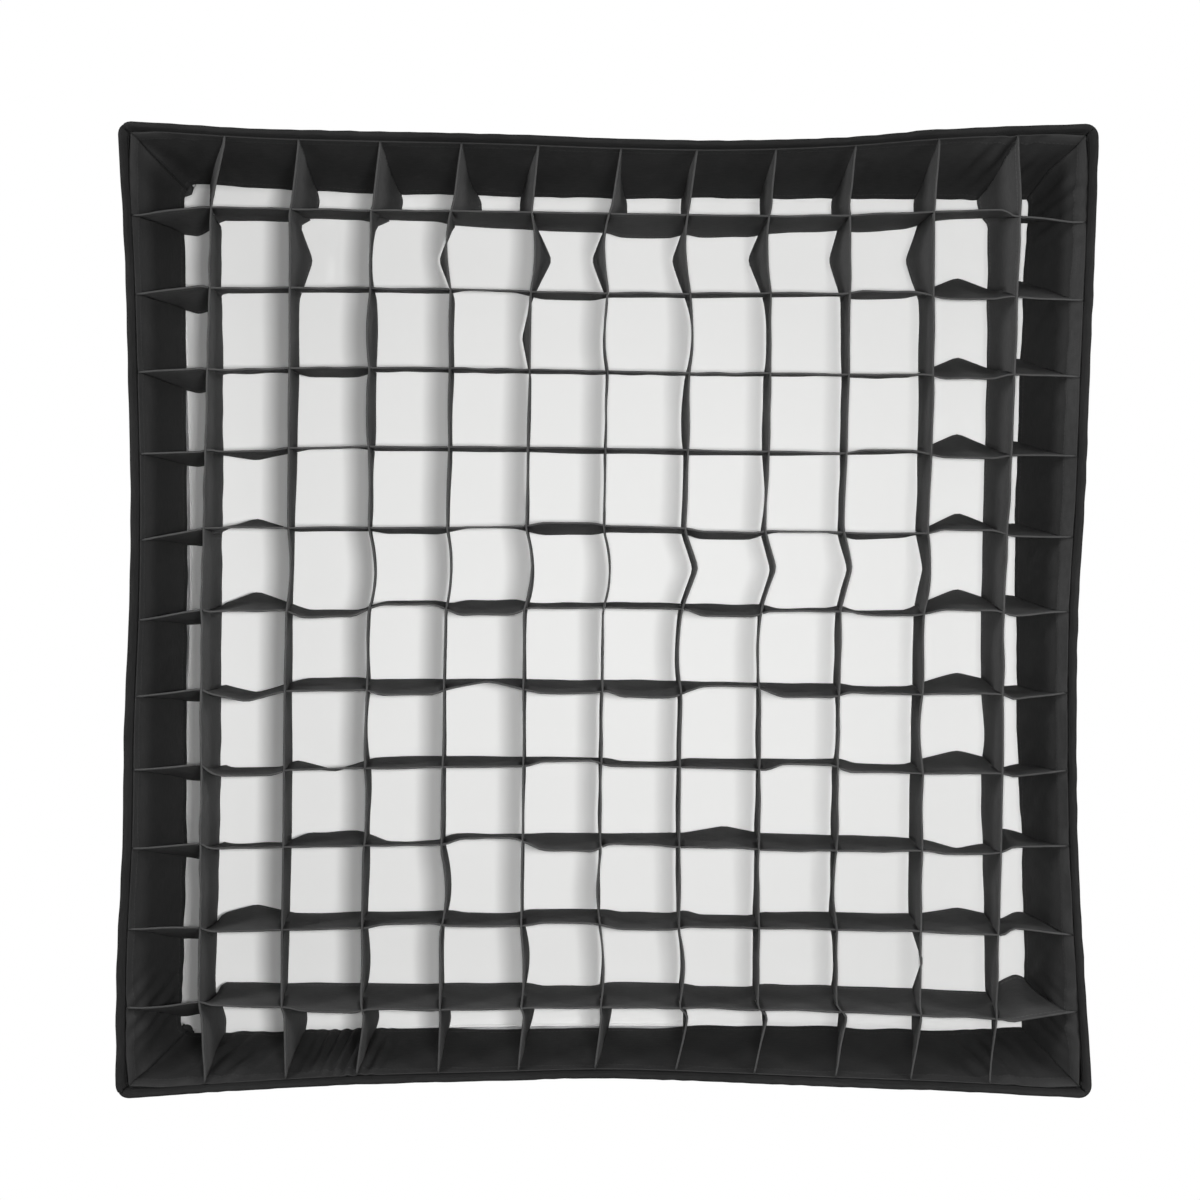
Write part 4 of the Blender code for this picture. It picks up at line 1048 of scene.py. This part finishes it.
class SOFTBOX_OT_front_diffuser(bpy.types.Operator):
    """Stretch the white diffuser behind the grid, with the skirt that hooks it to the shell"""

    bl_idname = "softbox.front_diffuser"
    bl_label = "Front Diffuser"

    def sheet_points(self, steps):
        """Square with cut corners that follows the shell's drawn-in sides."""
        grid = np.linspace(-1, 1, steps + 1)
        u, v = np.meshgrid(grid, grid, indexing="ij")
        sides = []
        for side, share in enumerate((u, -v, -u, v)):
            out = shell_place(side, share, 0 * share, SKIRT_DEPTHS[0], 0.0)[1]
            sides.append(out - DIFFUSER_INSET)
        x = np.where(u > 0, u * sides[1], u * sides[3])
        z = np.where(v > 0, v * sides[0], v * sides[2])
        off_corner = (np.abs(x) - np.abs(z)) / math.sqrt(2)
        bite = np.sqrt(2 * np.maximum(POCKET_CLEARANCE**2 - off_corner**2, 0))
        rod_reach = shell_half(SKIRT_DEPTHS[0]) - CORNER_R
        past_pocket = np.maximum(1, (np.abs(x) + np.abs(z)) / (2 * rod_reach - bite))
        return x / past_pocket, z / past_pocket

    def execute(self, context):
        white = cloth_finish("white_cloth", context.scene.softbox_colours)
        x, z = self.sheet_points(90)
        inner = 1.0
        for place in (x, z):
            inner = inner * np.clip((1 - np.abs(place) / DIFFUSER_SLACK_HALF) * 5, 0, 1)
        slack = (DIFFUSER_SLACK + 0.0006 * creases(61, x, z, 0.16)) * inner * (2 - inner)
        points = np.stack([x, FRONT_Y + DIFFUSER_DEPTH + slack, z], axis=-1)
        cut = np.stack([x, z], axis=-1) + PATTERN_MARGIN
        mesh = sewn_mesh("diffuser_cloth", points, cut)
        piece = new_piece(mesh, [white], "diffuser", "white_cloth", "front_diffuser")
        thicken(piece, DIFFUSER_CLOTH)
        near, far = SKIRT_DEPTHS
        profile = [(DIFFUSER_INSET + 0.0001, mix(near, far, share)) for share in np.linspace(0, 1, 9)]
        points, cut, length, width = ring_points(profile, 40)
        skirt = sewn_mesh("diffuser_skirt", points, cut, outward=True)
        piece = new_piece(skirt, [white], "diffuser", "white_cloth", "diffuser_border")
        thicken(piece, SKIRT_CLOTH)
        return {"FINISHED"}


class SOFTBOX_OT_shell_panels(bpy.types.Operator):
    """Sew the four lined shell panels and the seam tapes along their corners"""

    bl_idname = "softbox.shell_panels"
    bl_label = "Shell Panels"

    # Folds that fan out from a corner: at the rear or not, height and number
    fans = ((True, 0.0028, 15), (False, 0.0018, 11))
    fan_reach = 0.085
    fan_width = 0.065
    seam_pucker = 0.0005
    loose_slack = 0.0012
    small_crease = 0.00035
    panel_inset = 0.0004
    seam_inset = -0.0006

    def folds(self, side, along, depths):
        """Height of the folds that fan out from the four corners, and of the puckers along the seams."""
        height = 0.0
        for sign in (-1, 1):
            from_seam = np.maximum(shell_half(depths) - sign * along, 0)
            pucker = 0.5 + 0.5 * creases(2 * side + sign + 51, depths, 0 * depths, 0.024)
            height = height + self.seam_pucker * pucker * np.exp(-from_seam / 0.014)
            for at_rear, tall, pleats in self.fans:
                from_edge = np.abs(depths - (SHELL_LENGTH if at_rear else 0.0))
                bearing = np.arctan2(from_seam, from_edge)
                reach = np.hypot(from_seam, from_edge)
                near = np.exp(-(((reach - self.fan_reach) / self.fan_width) ** 2))
                near = near * np.clip((from_edge - 0.012) / 0.03, 0, 1)
                height = height + tall * near * (0.5 + 0.5 * np.sin(pleats * bearing + 1.7 * side + sign))
        return height

    def panel(self, side):
        shares, angles = (row[:, None] for row in side_stations(120))
        depths = np.linspace(EDGE_BACK, SHELL_LENGTH - EDGE_BACK, 97)[None, :]
        along, out = shell_place(side, shares, angles, depths, self.panel_inset)
        loose = np.clip(1 - np.abs(shares), 0, 1) ** 0.5 * np.sin(math.pi * depths / SHELL_LENGTH)
        out = out - self.loose_slack * loose * (1 + 0.7 * creases(side + 31, along, depths, 0.12))
        gather = np.clip(1 - np.abs(shares), 0, 0.1) * 10
        held = np.clip(np.minimum(depths, SHELL_LENGTH - depths) / 0.010 - 1, 0, 1)
        small = self.small_crease * creases(side + 41, along, 0.25 * depths, 0.03)
        out = out + gather * (small + held * self.folds(side, along, depths))
        points = turned_to_side(side, along, out, FRONT_Y + depths)
        cut = np.stack(np.broadcast_arrays(along, depths * PANEL_STRETCH), axis=-1)
        return sewn_mesh("shell_cloth_" + SIDES[side], points, cut, outward=True)

    def seam(self, side):
        """Narrow tape over the corner between a side and the next."""
        depths = np.linspace(SEAM_FROM_EDGE, SHELL_LENGTH - SEAM_FROM_EDGE, 61)[None, :]
        angles = np.array([0.0, 15.0, 30.0, 45.0])[:, None]
        halves = []
        for half, end, turn in ((side, 1, angles), ((side + 1) % 4, -1, angles[::-1])):
            along, out = shell_place(half, end * np.ones((4, 1)), turn, depths, self.seam_inset)
            halves.append(turned_to_side(half, along, out, FRONT_Y + depths))
        points = np.concatenate([halves[0], halves[1][1:]])
        across = np.linspace(0, SEAM_FLAT[0], 7)[:, None]
        cut = np.stack(np.broadcast_arrays(depths * SEAM_STRETCH, across), axis=-1)
        return sewn_mesh("seam_tape_" + list(CORNERS)[side], points, cut, outward=True)

    def execute(self, context):
        sizes, colours = context.scene.softbox_sizes, context.scene.softbox_colours
        finishes = [cloth_finish("shell_cloth", colours), lining_finish("silver_lining", colours)]
        tape = cloth_finish("seam_tape", colours)
        for side, name in enumerate(SIDES):
            mesh = self.panel(side)
            piece = new_piece(mesh, finishes, "softbox", "black_cloth", "shell_" + name)
            thicken(piece, sizes.shell_cloth, lining=True)
            mesh = self.seam(side)
            piece = new_piece(mesh, [tape], "softbox", "black_tape")
            thicken(piece, SEAM_CLOTH)
        return {"FINISHED"}


class SOFTBOX_OT_edge_tapes(bpy.types.Operator):
    """Fold the binding tapes over the shell's front and rear edges, and sew in the loop tape"""

    bl_idname = "softbox.edge_tapes"
    bl_label = "Edge Tapes"

    # Inset from the shell and distance from its edge, on the tape's outer and inner face
    outer_face = ((-0.0007, 0.0090), (-0.00085, 0.0060), (-0.0007, 0.0048), (-0.0009, 0.0034))
    inner_face = ((0.0017, 0.0034), (0.0015, 0.0048), (0.0016, 0.0060), (0.0015, 0.0090))

    def binding(self, edge, inward):
        """Profile of a tape folded over an edge: outer face, rounded fold and inner face."""
        turns = np.radians(np.linspace(-90, 90, 9))
        fold = [(0.0004 + 0.0013 * math.sin(turn), 0.0012 - 0.0012 * math.cos(turn)) for turn in turns]
        profile = (*self.outer_face, *fold, *self.inner_face)
        return [(inset, edge + inward * reach) for inset, reach in profile]

    def uneven(self, side, along, depth):
        """Height of the tape's wrinkles, and of the overlap of its ends on the top side."""
        lap = 0.0005 * (side == 0) * ((along > OVERLAP_FROM) & (along < OVERLAP_TO))
        return 0.00018 * creases(side + 71, along, depth, 0.018) + lap

    def execute(self, context):
        sizes, colours = context.scene.softbox_sizes, context.scene.softbox_colours
        tape, pile = cloth_finish("binding_tape", colours), cloth_finish("loop_pile", colours)
        half_tape = sizes.tape / 2
        edges = (("front_binding", half_tape, 1), ("rear_binding", SHELL_LENGTH - half_tape, -1))
        for node, edge, inward in edges:
            points, cut, length, width = ring_points(self.binding(edge, inward), 96, self.uneven)
            mesh = sewn_mesh(node + "_tape", points, cut, outward=True)
            piece = new_piece(mesh, [tape], "softbox", "black_tape", node)
            thicken(piece, sizes.tape)
        profile = [(LOOP_INSET, depth) for depth in np.linspace(*LOOP_DEPTHS, 7)]
        points, cut, length, width = ring_points(profile, 60)
        mesh = sewn_mesh("loop_tape", points, cut, outward=True)
        piece = new_piece(mesh, [pile], "softbox", "black_tape", "grid_loop_tape")
        thicken(piece, LOOP_CLOTH)
        return {"FINISHED"}


class SOFTBOX_OT_corner_pockets(bpy.types.Operator):
    """Sew the sleeves in the front corners that take the rod tips"""

    bl_idname = "softbox.corner_pockets"
    bl_label = "Corner Pockets"

    profile = (
        (0, 0.0010), (0.0036, 0.0010), (0.0036, 0.0385), (0.0038, 0.0400), (0.0043, 0.0402),
        (0.0046, 0.0396), (0.0046, 0.0372), (0.0043, 0.0362), (0.0045, 0.0350), (0.0044, 0.0180),
        (0.0046, 0.0090), (0.0044, 0.0020), (0.0038, 0.0006), (0.0026, 0), (0, 0),
    )

    def execute(self, context):
        colours = context.scene.softbox_colours
        finish = solid_finish("pocket_cloth", colours)
        near = ROD_FRONT_DEPTH - TIP_FLOOR - POCKET_LEAD
        for corner in CORNERS:
            place = along_line(rod_point(corner, near), rod_point(corner, near + POCKET_LENGTH))
            mesh = joined_mesh("pocket_cloth_" + corner, [spun(self.profile, 24, place, closed=False)], 60)
            new_piece(mesh, [finish], "softbox", "black_cloth", "corner_pocket_" + corner)
        return {"FINISHED"}


class SOFTBOX_OT_inner_baffle(bpy.types.Operator):
    """Hang the white inner baffle on its four webbing straps"""

    bl_idname = "softbox.inner_baffle"
    bl_label = "Inner Baffle"

    def strap(self, corner):
        """Webbing from the baffle's corner round the rod and back on itself."""
        depth = BAFFLE_Y - FRONT_Y
        rod = rod_point(corner, depth)
        axis = (rod_point(corner, depth + 0.005) - rod_point(corner, depth - 0.005)).normalized()
        inward = Vector((-rod.x, 0, -rod.z))
        inward = (inward - axis * inward.dot(axis)).normalized()
        aside = axis.cross(inward)
        loop = 0.0031
        reach = math.hypot(rod.x, rod.z) - math.sqrt(2) * (BAFFLE_HALF - 0.006)
        path = [(reach, 0.0007), (reach * 0.7, 0.0007), (0.010, 0.0009)]
        path += [(loop * math.cos(a), loop * math.sin(a)) for a in np.radians(np.linspace(50, 310, 15))]
        path += [(0.010, -0.0006), (reach * 0.55, -0.0004)]
        width = np.linspace(-STRAP_HALF_WIDTH, STRAP_HALF_WIDTH, 5)
        points = np.array([[rod + inward * a + aside * b + axis * w for w in width] for a, b in path])
        steps = np.hypot(*np.diff(np.array(path), axis=0).T)
        length = np.concatenate([[0], np.cumsum(steps)])
        cut = np.stack(np.broadcast_arrays(length[:, None], width[None, :] + STRAP_HALF_WIDTH), axis=-1)
        return sewn_mesh("strap_webbing_" + corner, points, cut)

    def execute(self, context):
        colours = context.scene.softbox_colours
        grid = np.linspace(-1, 1, 41)
        u, v = np.meshgrid(grid, grid, indexing="ij")
        x = u * (BAFFLE_HALF - BAFFLE_DRAWN_IN * (1 - v * v))
        z = v * (BAFFLE_HALF - BAFFLE_DRAWN_IN * (1 - u * u))
        corner = (u * v) ** 8
        x, z = x * (1 - 0.018 * corner), z * (1 - 0.018 * corner)
        slack = 0.0016 * (1 - u * u) * (1 - v * v) + 0.0005 * creases(91, x, z, 0.09)
        points = np.stack([x, BAFFLE_Y + slack, z], axis=-1)
        mesh = sewn_mesh("baffle_cloth", points, np.stack([x + BAFFLE_HALF, z + BAFFLE_HALF], axis=-1))
        white, webbing = cloth_finish("white_cloth", colours), cloth_finish("strap_webbing", colours)
        piece = new_piece(mesh, [white], "softbox", "white_cloth", "inner_baffle")
        thicken(piece, BAFFLE_CLOTH)
        for corner in CORNERS:
            mesh = self.strap(corner)
            strap = new_piece(mesh, [webbing], "softbox", "black_tape", "baffle_strap_" + corner)
            thicken(strap, STRAP_CLOTH)
        return {"FINISHED"}


class SOFTBOX_OT_rods(bpy.types.Operator):
    """Bend the four spring rods and fit their moulded tips"""

    bl_idname = "softbox.rods"
    bl_label = "Rods"

    tip = (
        (0, 0.0030), (0.0023, 0.0030), (0.0023, 0.0196), (0.0026, 0.0200), (0.0030, 0.0200),
        (0.0033, 0.0196), (0.0033, 0.0165), (0.0030, 0.0160), (0.0030, 0.0150), (0.0033, 0.0145),
        (0.0033, 0.0018), (0.0029, 0.0007), (0.0020, 0.0001), (0, 0),
    )

    def rod(self, corner):
        """Round bar swept along the shell's corner and straight into the ring's socket."""
        depths = np.linspace(ROD_FRONT_DEPTH, SHELL_LENGTH, 40)
        route = [rod_point(corner, depth) for depth in depths]
        route += [rod_at_rear(corner, y) for y in np.linspace(REAR_Y + 0.004, ROD_REAR_Y, 4)]
        shape = bmesh.new()
        start = along_line(route[0], route[1])
        bmesh.ops.create_circle(shape, cap_ends=True, segments=16, radius=ROD_R, matrix=start)
        face = shape.faces[:][0]
        for before, here in zip(route, route[1:]):
            drawn = bmesh.ops.extrude_discrete_faces(shape, faces=[face])
            face = drawn["faces"][0]
            bmesh.ops.translate(shape, vec=here - before, verts=face.verts)
        return shape

    def execute(self, context):
        colours = context.scene.softbox_colours
        steel = solid_finish("rod_steel", colours)
        plastic = solid_finish("moulded_plastic", colours)
        near = ROD_FRONT_DEPTH - TIP_FLOOR
        for corner in CORNERS:
            mesh = joined_mesh("spring_rod_" + corner, [self.rod(corner)], 50)
            new_piece(mesh, [steel], "softbox", "rod_steel", "rod_" + corner)
            place = along_line(rod_point(corner, near), rod_point(corner, near + TIP_LENGTH))
            mesh = joined_mesh("rod_cap_" + corner, [spun(self.tip, 24, place, closed=False)], 40)
            new_piece(mesh, [plastic], "softbox", "tip_plastic", "rod_tip_" + corner)
        return {"FINISHED"}


class SOFTBOX_OT_speed_ring(bpy.types.Operator):
    """Cast the speed ring with its four ears and angled rod sockets"""

    bl_idname = "softbox.speed_ring"
    bl_label = "Speed Ring"

    profile = (
        (0.0848, -0.0040), (0.0857, -0.0043), (0.0860, -0.0052), (0.0860, -0.0085), (0.0856, -0.0089),
        (0.0856, -0.0155), (0.0860, -0.0159), (0.0860, -0.0188), (0.0857, -0.0197), (0.0848, -0.0200),
        (0.0796, -0.0200), (0.0790, -0.0206), (0.0790, -0.0328), (0.0787, -0.0337), (0.0778, -0.0340),
        (0.0706, -0.0340), (0.0700, -0.0334), (0.0700, -0.0046), (0.0706, -0.0040),
    )

    def execute(self, context):
        colours = context.scene.softbox_colours
        coat = solid_finish("ring_coating", colours)
        shapes = [spun(self.profile, 144, TO_Y_AXIS)]
        ear = [(0.078, -0.021), (0.0985, -0.0105)] + arc(0.0105, -60, 60, 13, (0.0985, 0))
        ear += [(0.0985, 0.0105), (0.078, 0.021)]
        level = Matrix.Translation((0, sum(EAR_Y) / 2, 0)) @ TO_Y_AXIS
        for corner, (side_x, side_z) in CORNERS.items():
            turn = Matrix.Rotation(math.atan2(-side_z, side_x), 4, "Z")
            shapes.append(slab(ear, EAR_Y[1] - EAR_Y[0], level @ turn, 0.0012, 3))
            front, rear = (rod_at_rear(corner, y) for y in SOCKET_Y)
            length = (rear - front).length
            socket = [
                (0.0024, length - 0.004), (0.0024, 0.0006), (0.0030, 0), (0.0062, 0), (0.0068, 0.0003),
                (0.0070, 0.0010), (0.0070, length - 0.0010), (0.0067, length - 0.0003), (0.0060, length),
                (0, length), (0, length - 0.004),
            ]
            shapes.append(spun(socket, 40, along_line(front, rear)))
        mesh = joined_mesh("cast_ring", shapes)
        new_piece(mesh, [coat], "softbox", "ring_metal", "speed_ring")
        return {"FINISHED"}


class SOFTBOX_OT_bayonet_insert(bpy.types.Operator):
    """Turn the bayonet insert with its three lugs, and fit the spring ring that keeps it in"""

    bl_idname = "softbox.bayonet_insert"
    bl_label = "Bayonet Insert"

    profile = (
        (0.0476, 0.0090), (0.0480, 0.0086), (0.0480, 0.0006), (0.0486, 0), (0.0794, 0), (0.0800, -0.0006),
        (0.0800, -0.0031), (0.0794, -0.0037), (0.0700, -0.0037), (0.0696, -0.0041), (0.0696, -0.0345),
        (0.0675, -0.0345), (0.0675, -0.0365), (0.0696, -0.0365), (0.0696, -0.0384), (0.0690, -0.0390),
        (0.0664, -0.0390), (0.0660, -0.0386), (0.0660, -0.0041), (0.0656, -0.0037), (0.0449, -0.0037),
        (0.0445, -0.0033), (0.0445, 0.0086), (0.0449, 0.0090),
    )
    lug = (
        (0.0472, 0.0084), (0.0526, 0.0084), (0.0530, 0.0080), (0.0530, 0.0063), (0.0526, 0.0059),
        (0.0472, 0.0059),
    )
    spring = (
        (0.0683, -0.0348), (0.0732, -0.0348), (0.0735, -0.0351), (0.0735, -0.0359), (0.0732, -0.0362),
        (0.0683, -0.0362), (0.0680, -0.0359), (0.0680, -0.0351),
    )

    def execute(self, context):
        colours = context.scene.softbox_colours
        metal = turned_finish("turned_metal", colours)
        shapes = [spun(self.profile, 144, TO_Y_AXIS)]
        for k in range(3):
            start = math.radians(90 + 120 * k - 18)
            shapes.append(spun(self.lug, 16, TO_Y_AXIS, turn=math.radians(36), start=start))
        mesh = joined_mesh("turned_insert", shapes)
        new_piece(mesh, [metal], "mount_insert", "insert_metal", "bayonet_insert")
        start = math.radians(12 - 90)
        open_ring = spun(self.spring, 96, TO_Y_AXIS, turn=math.radians(336), start=start)
        steel = turned_finish("spring_steel", colours)
        mesh = joined_mesh("spring_ring", [open_ring])
        new_piece(mesh, [steel], "mount_insert", "insert_metal", "retaining_ring")
        return {"FINISHED"}


class SOFTBOX_OT_lock_screw(bpy.types.Operator):
    """Fit the lock screw's threaded shank and its lobed knob"""

    bl_idname = "softbox.lock_screw"
    bl_label = "Lock Screw"

    def execute(self, context):
        colours = context.scene.softbox_colours
        middle = Matrix.Translation((0, LOCK_Y, 0)) @ TO_X_AXIS
        shank = [(0, 0.0995), (0.0022, 0.0995), (0.0025, 0.0992), (0.0025, 0.0890)]
        for turn in np.arange(0.0885, 0.0712, -0.0007):
            shank += [(0.0025, turn), (0.00215, turn - 0.00035)]
        shank += [(0.0025, 0.0708), (0.0019, 0.0699), (0, 0.0699)]
        metal = turned_finish("turned_metal", colours)
        mesh = joined_mesh("threaded_shank", [spun(shank, 28, middle, closed=False)], 30)
        new_piece(mesh, [metal], "lock_screw", "insert_metal", "lock_screw_shank")
        outline = []
        for angle in np.linspace(0, 360, 72, endpoint=False):
            radius = 0.0071 + 0.0009 * math.cos(math.radians(6 * angle))
            outline += arc(radius, angle, angle, 1)
        level = Matrix.Translation((0.0965, LOCK_Y, 0)) @ TO_X_AXIS
        grip = slab(outline, 0.013, level, 0.0011, 3)
        boss = [(0.0028, 0.0890), (0.0048, 0.0890), (0.0052, 0.0894), (0.0052, 0.0905), (0.0028, 0.0905)]
        cap = [(0, 0.1030), (0.0046, 0.1030), (0.0050, 0.1027), (0.0050, 0.1020), (0, 0.1020)]
        shapes = [grip, spun(boss, 40, middle), spun(cap, 40, middle, closed=False)]
        plastic = solid_finish("moulded_plastic", colours)
        mesh = joined_mesh("lobed_knob", shapes)
        new_piece(mesh, [plastic], "lock_knob", "knob_plastic", "lock_screw_knob")
        return {"FINISHED"}


class SOFTBOX_OT_stage(bpy.types.Operator):
    """Set the camera, the floor, five soft lamps and the white room"""

    bl_idname = "softbox.stage"
    bl_label = "Stage"

    def lamp(self, name, place, aim, width, height, power, spread_deg=180.0):
        light = bpy.data.lights.new(name, "AREA")
        light.shape = "RECTANGLE"
        light.size, light.size_y = width, height
        light.energy = power
        light.spread = math.radians(spread_deg)
        item = bpy.data.objects.new(name, light)
        item.location = place
        item.rotation_euler = (Vector(aim) - Vector(place)).to_track_quat("-Z", "Y").to_euler()
        bpy.context.scene.collection.objects.link(item)

    def seen(self, tree):
        """One where the camera sees the place, also in gloss or glass; zero where it only gives light."""
        rays = add_node(tree, "LightPath").outputs
        mirrored = maths(tree, "MAXIMUM", rays["Is Glossy Ray"], rays["Is Transmission Ray"])
        return maths(tree, "MAXIMUM", rays["Is Camera Ray"], mirrored)

    def room(self, ambient):
        """White behind the softbox and in its reflections, and even light from all round."""
        world = bpy.data.worlds.new("white_room")
        world.use_nodes = True
        tree = world.node_tree
        seen = self.seen(tree)
        background = tree.nodes["Background"]
        background.inputs["Color"].default_value = (1, 1, 1, 1)
        tree.links.new(between(tree, seen, 0.0, 1.0, ambient, 1.0), background.inputs["Strength"])
        bpy.context.scene.world = world

    def floor(self, colour):
        """Pale disc that takes the softbox's shadow and goes over into the white room at its rim."""
        shape = bmesh.new()
        place = Matrix.Translation((0, 0, FLOOR_Z))
        bmesh.ops.create_circle(shape, cap_ends=True, segments=96, radius=FLOOR_RADIUS, matrix=place)
        disc = bpy.data.objects.new("floor", mesh_from(shape, "floor"))
        paint, tree, shader, coords = new_finish("floor_paint")
        shader.inputs["Base Color"].default_value = (*colour, 1)
        shader.inputs["Roughness"].default_value = 0.8
        axes = add_node(tree, "SeparateXYZ", {0: coords["Object"]}).outputs
        flat = add_node(tree, "CombineXYZ", {0: axes["X"], 1: axes["Y"]}).outputs[0]
        away = add_node(tree, "VectorMath", {0: flat}, operation="LENGTH").outputs["Value"]
        white = between(tree, away, 0.74 * FLOOR_RADIUS, 0.99 * FLOOR_RADIUS, FLOOR_GLOW, 1.0)
        tree.links.new(maths(tree, "MULTIPLY", self.seen(tree), white), shader.inputs["Emission Color"])
        shader.inputs["Emission Strength"].default_value = 1.0
        disc.data.materials.append(paint)
        bpy.context.scene.collection.objects.link(disc)

    def execute(self, context):
        sizes, colours = context.scene.softbox_sizes, context.scene.softbox_colours
        camera = bpy.data.cameras.new("front_camera")
        camera.lens = CAMERA_LENS
        camera.sensor_width = 36.0
        item = bpy.data.objects.new("front_camera", camera)
        item.location = CAMERA_PLACE
        item.rotation_euler = (math.pi / 2, 0, 0)
        context.scene.collection.objects.link(item)
        context.scene.camera = item
        past_left, past_right = (-0.90, -0.34, 0.006), (0.90, -0.34, 0.0066)
        self.lamp("key_lamp", (0.245, -1.71, 0.006), past_left, 0.30, 0.10, sizes.key_power, 86.0)
        self.lamp("front_lamp", (-0.0046, -1.74, 0.0066), past_right, 0.08, 0.08, sizes.front_power, 100.0)
        self.lamp("right_lamp", (1.30, -0.95, 0.30), GRID_MIDDLE, 0.40, 0.40, sizes.right_power)
        self.lamp("left_lamp", (-1.20, -1.00, 0.45), GRID_MIDDLE, 0.40, 0.40, sizes.left_power)
        self.lamp("back_lamp", (-0.7, 1.5, 1.5), (0, -0.1, 0), 1.0, 1.0, sizes.back_power)
        self.room(sizes.ambient)
        self.floor(colours.floor)
        context.scene.view_settings.view_transform = "Standard"
        return {"FINISHED"}


OPERATORS = (
    SOFTBOX_OT_stage,
    SOFTBOX_OT_grid_strips,
    SOFTBOX_OT_grid_border,
    SOFTBOX_OT_front_diffuser,
    SOFTBOX_OT_shell_panels,
    SOFTBOX_OT_edge_tapes,
    SOFTBOX_OT_corner_pockets,
    SOFTBOX_OT_inner_baffle,
    SOFTBOX_OT_rods,
    SOFTBOX_OT_speed_ring,
    SOFTBOX_OT_bayonet_insert,
    SOFTBOX_OT_lock_screw,
)


class SOFTBOX_PT_panel(bpy.types.Panel):
    """Sizes, colours and building steps of the softbox"""

    bl_idname = "SOFTBOX_PT_panel"
    bl_label = "Square Softbox"
    bl_space_type = "VIEW_3D"
    bl_region_type = "UI"
    bl_category = "Softbox"

    def draw(self, context):
        for group in (context.scene.softbox_sizes, context.scene.softbox_colours):
            box = self.layout.box()
            for name in group.__annotations__:
                box.prop(group, name)
        for operator in OPERATORS:
            self.layout.operator(operator.bl_idname)


CLASSES = (SoftboxSizes, SoftboxColours, *OPERATORS, SOFTBOX_PT_panel)


def register():
    for item in CLASSES:
        bpy.utils.register_class(item)
    bpy.types.Scene.softbox_sizes = PointerProperty(type=SoftboxSizes)
    bpy.types.Scene.softbox_colours = PointerProperty(type=SoftboxColours)


def unregister():
    del bpy.types.Scene.softbox_colours
    del bpy.types.Scene.softbox_sizes
    for item in reversed(CLASSES):
        bpy.utils.unregister_class(item)


def main():
    register()
    bpy.ops.softbox.stage()
    bpy.ops.softbox.grid_strips()
    bpy.ops.softbox.grid_border()
    bpy.ops.softbox.front_diffuser()
    bpy.ops.softbox.shell_panels()
    bpy.ops.softbox.edge_tapes()
    bpy.ops.softbox.corner_pockets()
    bpy.ops.softbox.inner_baffle()
    bpy.ops.softbox.rods()
    bpy.ops.softbox.speed_ring()
    bpy.ops.softbox.bayonet_insert()
    bpy.ops.softbox.lock_screw()


if __name__ == "__main__":
    main()
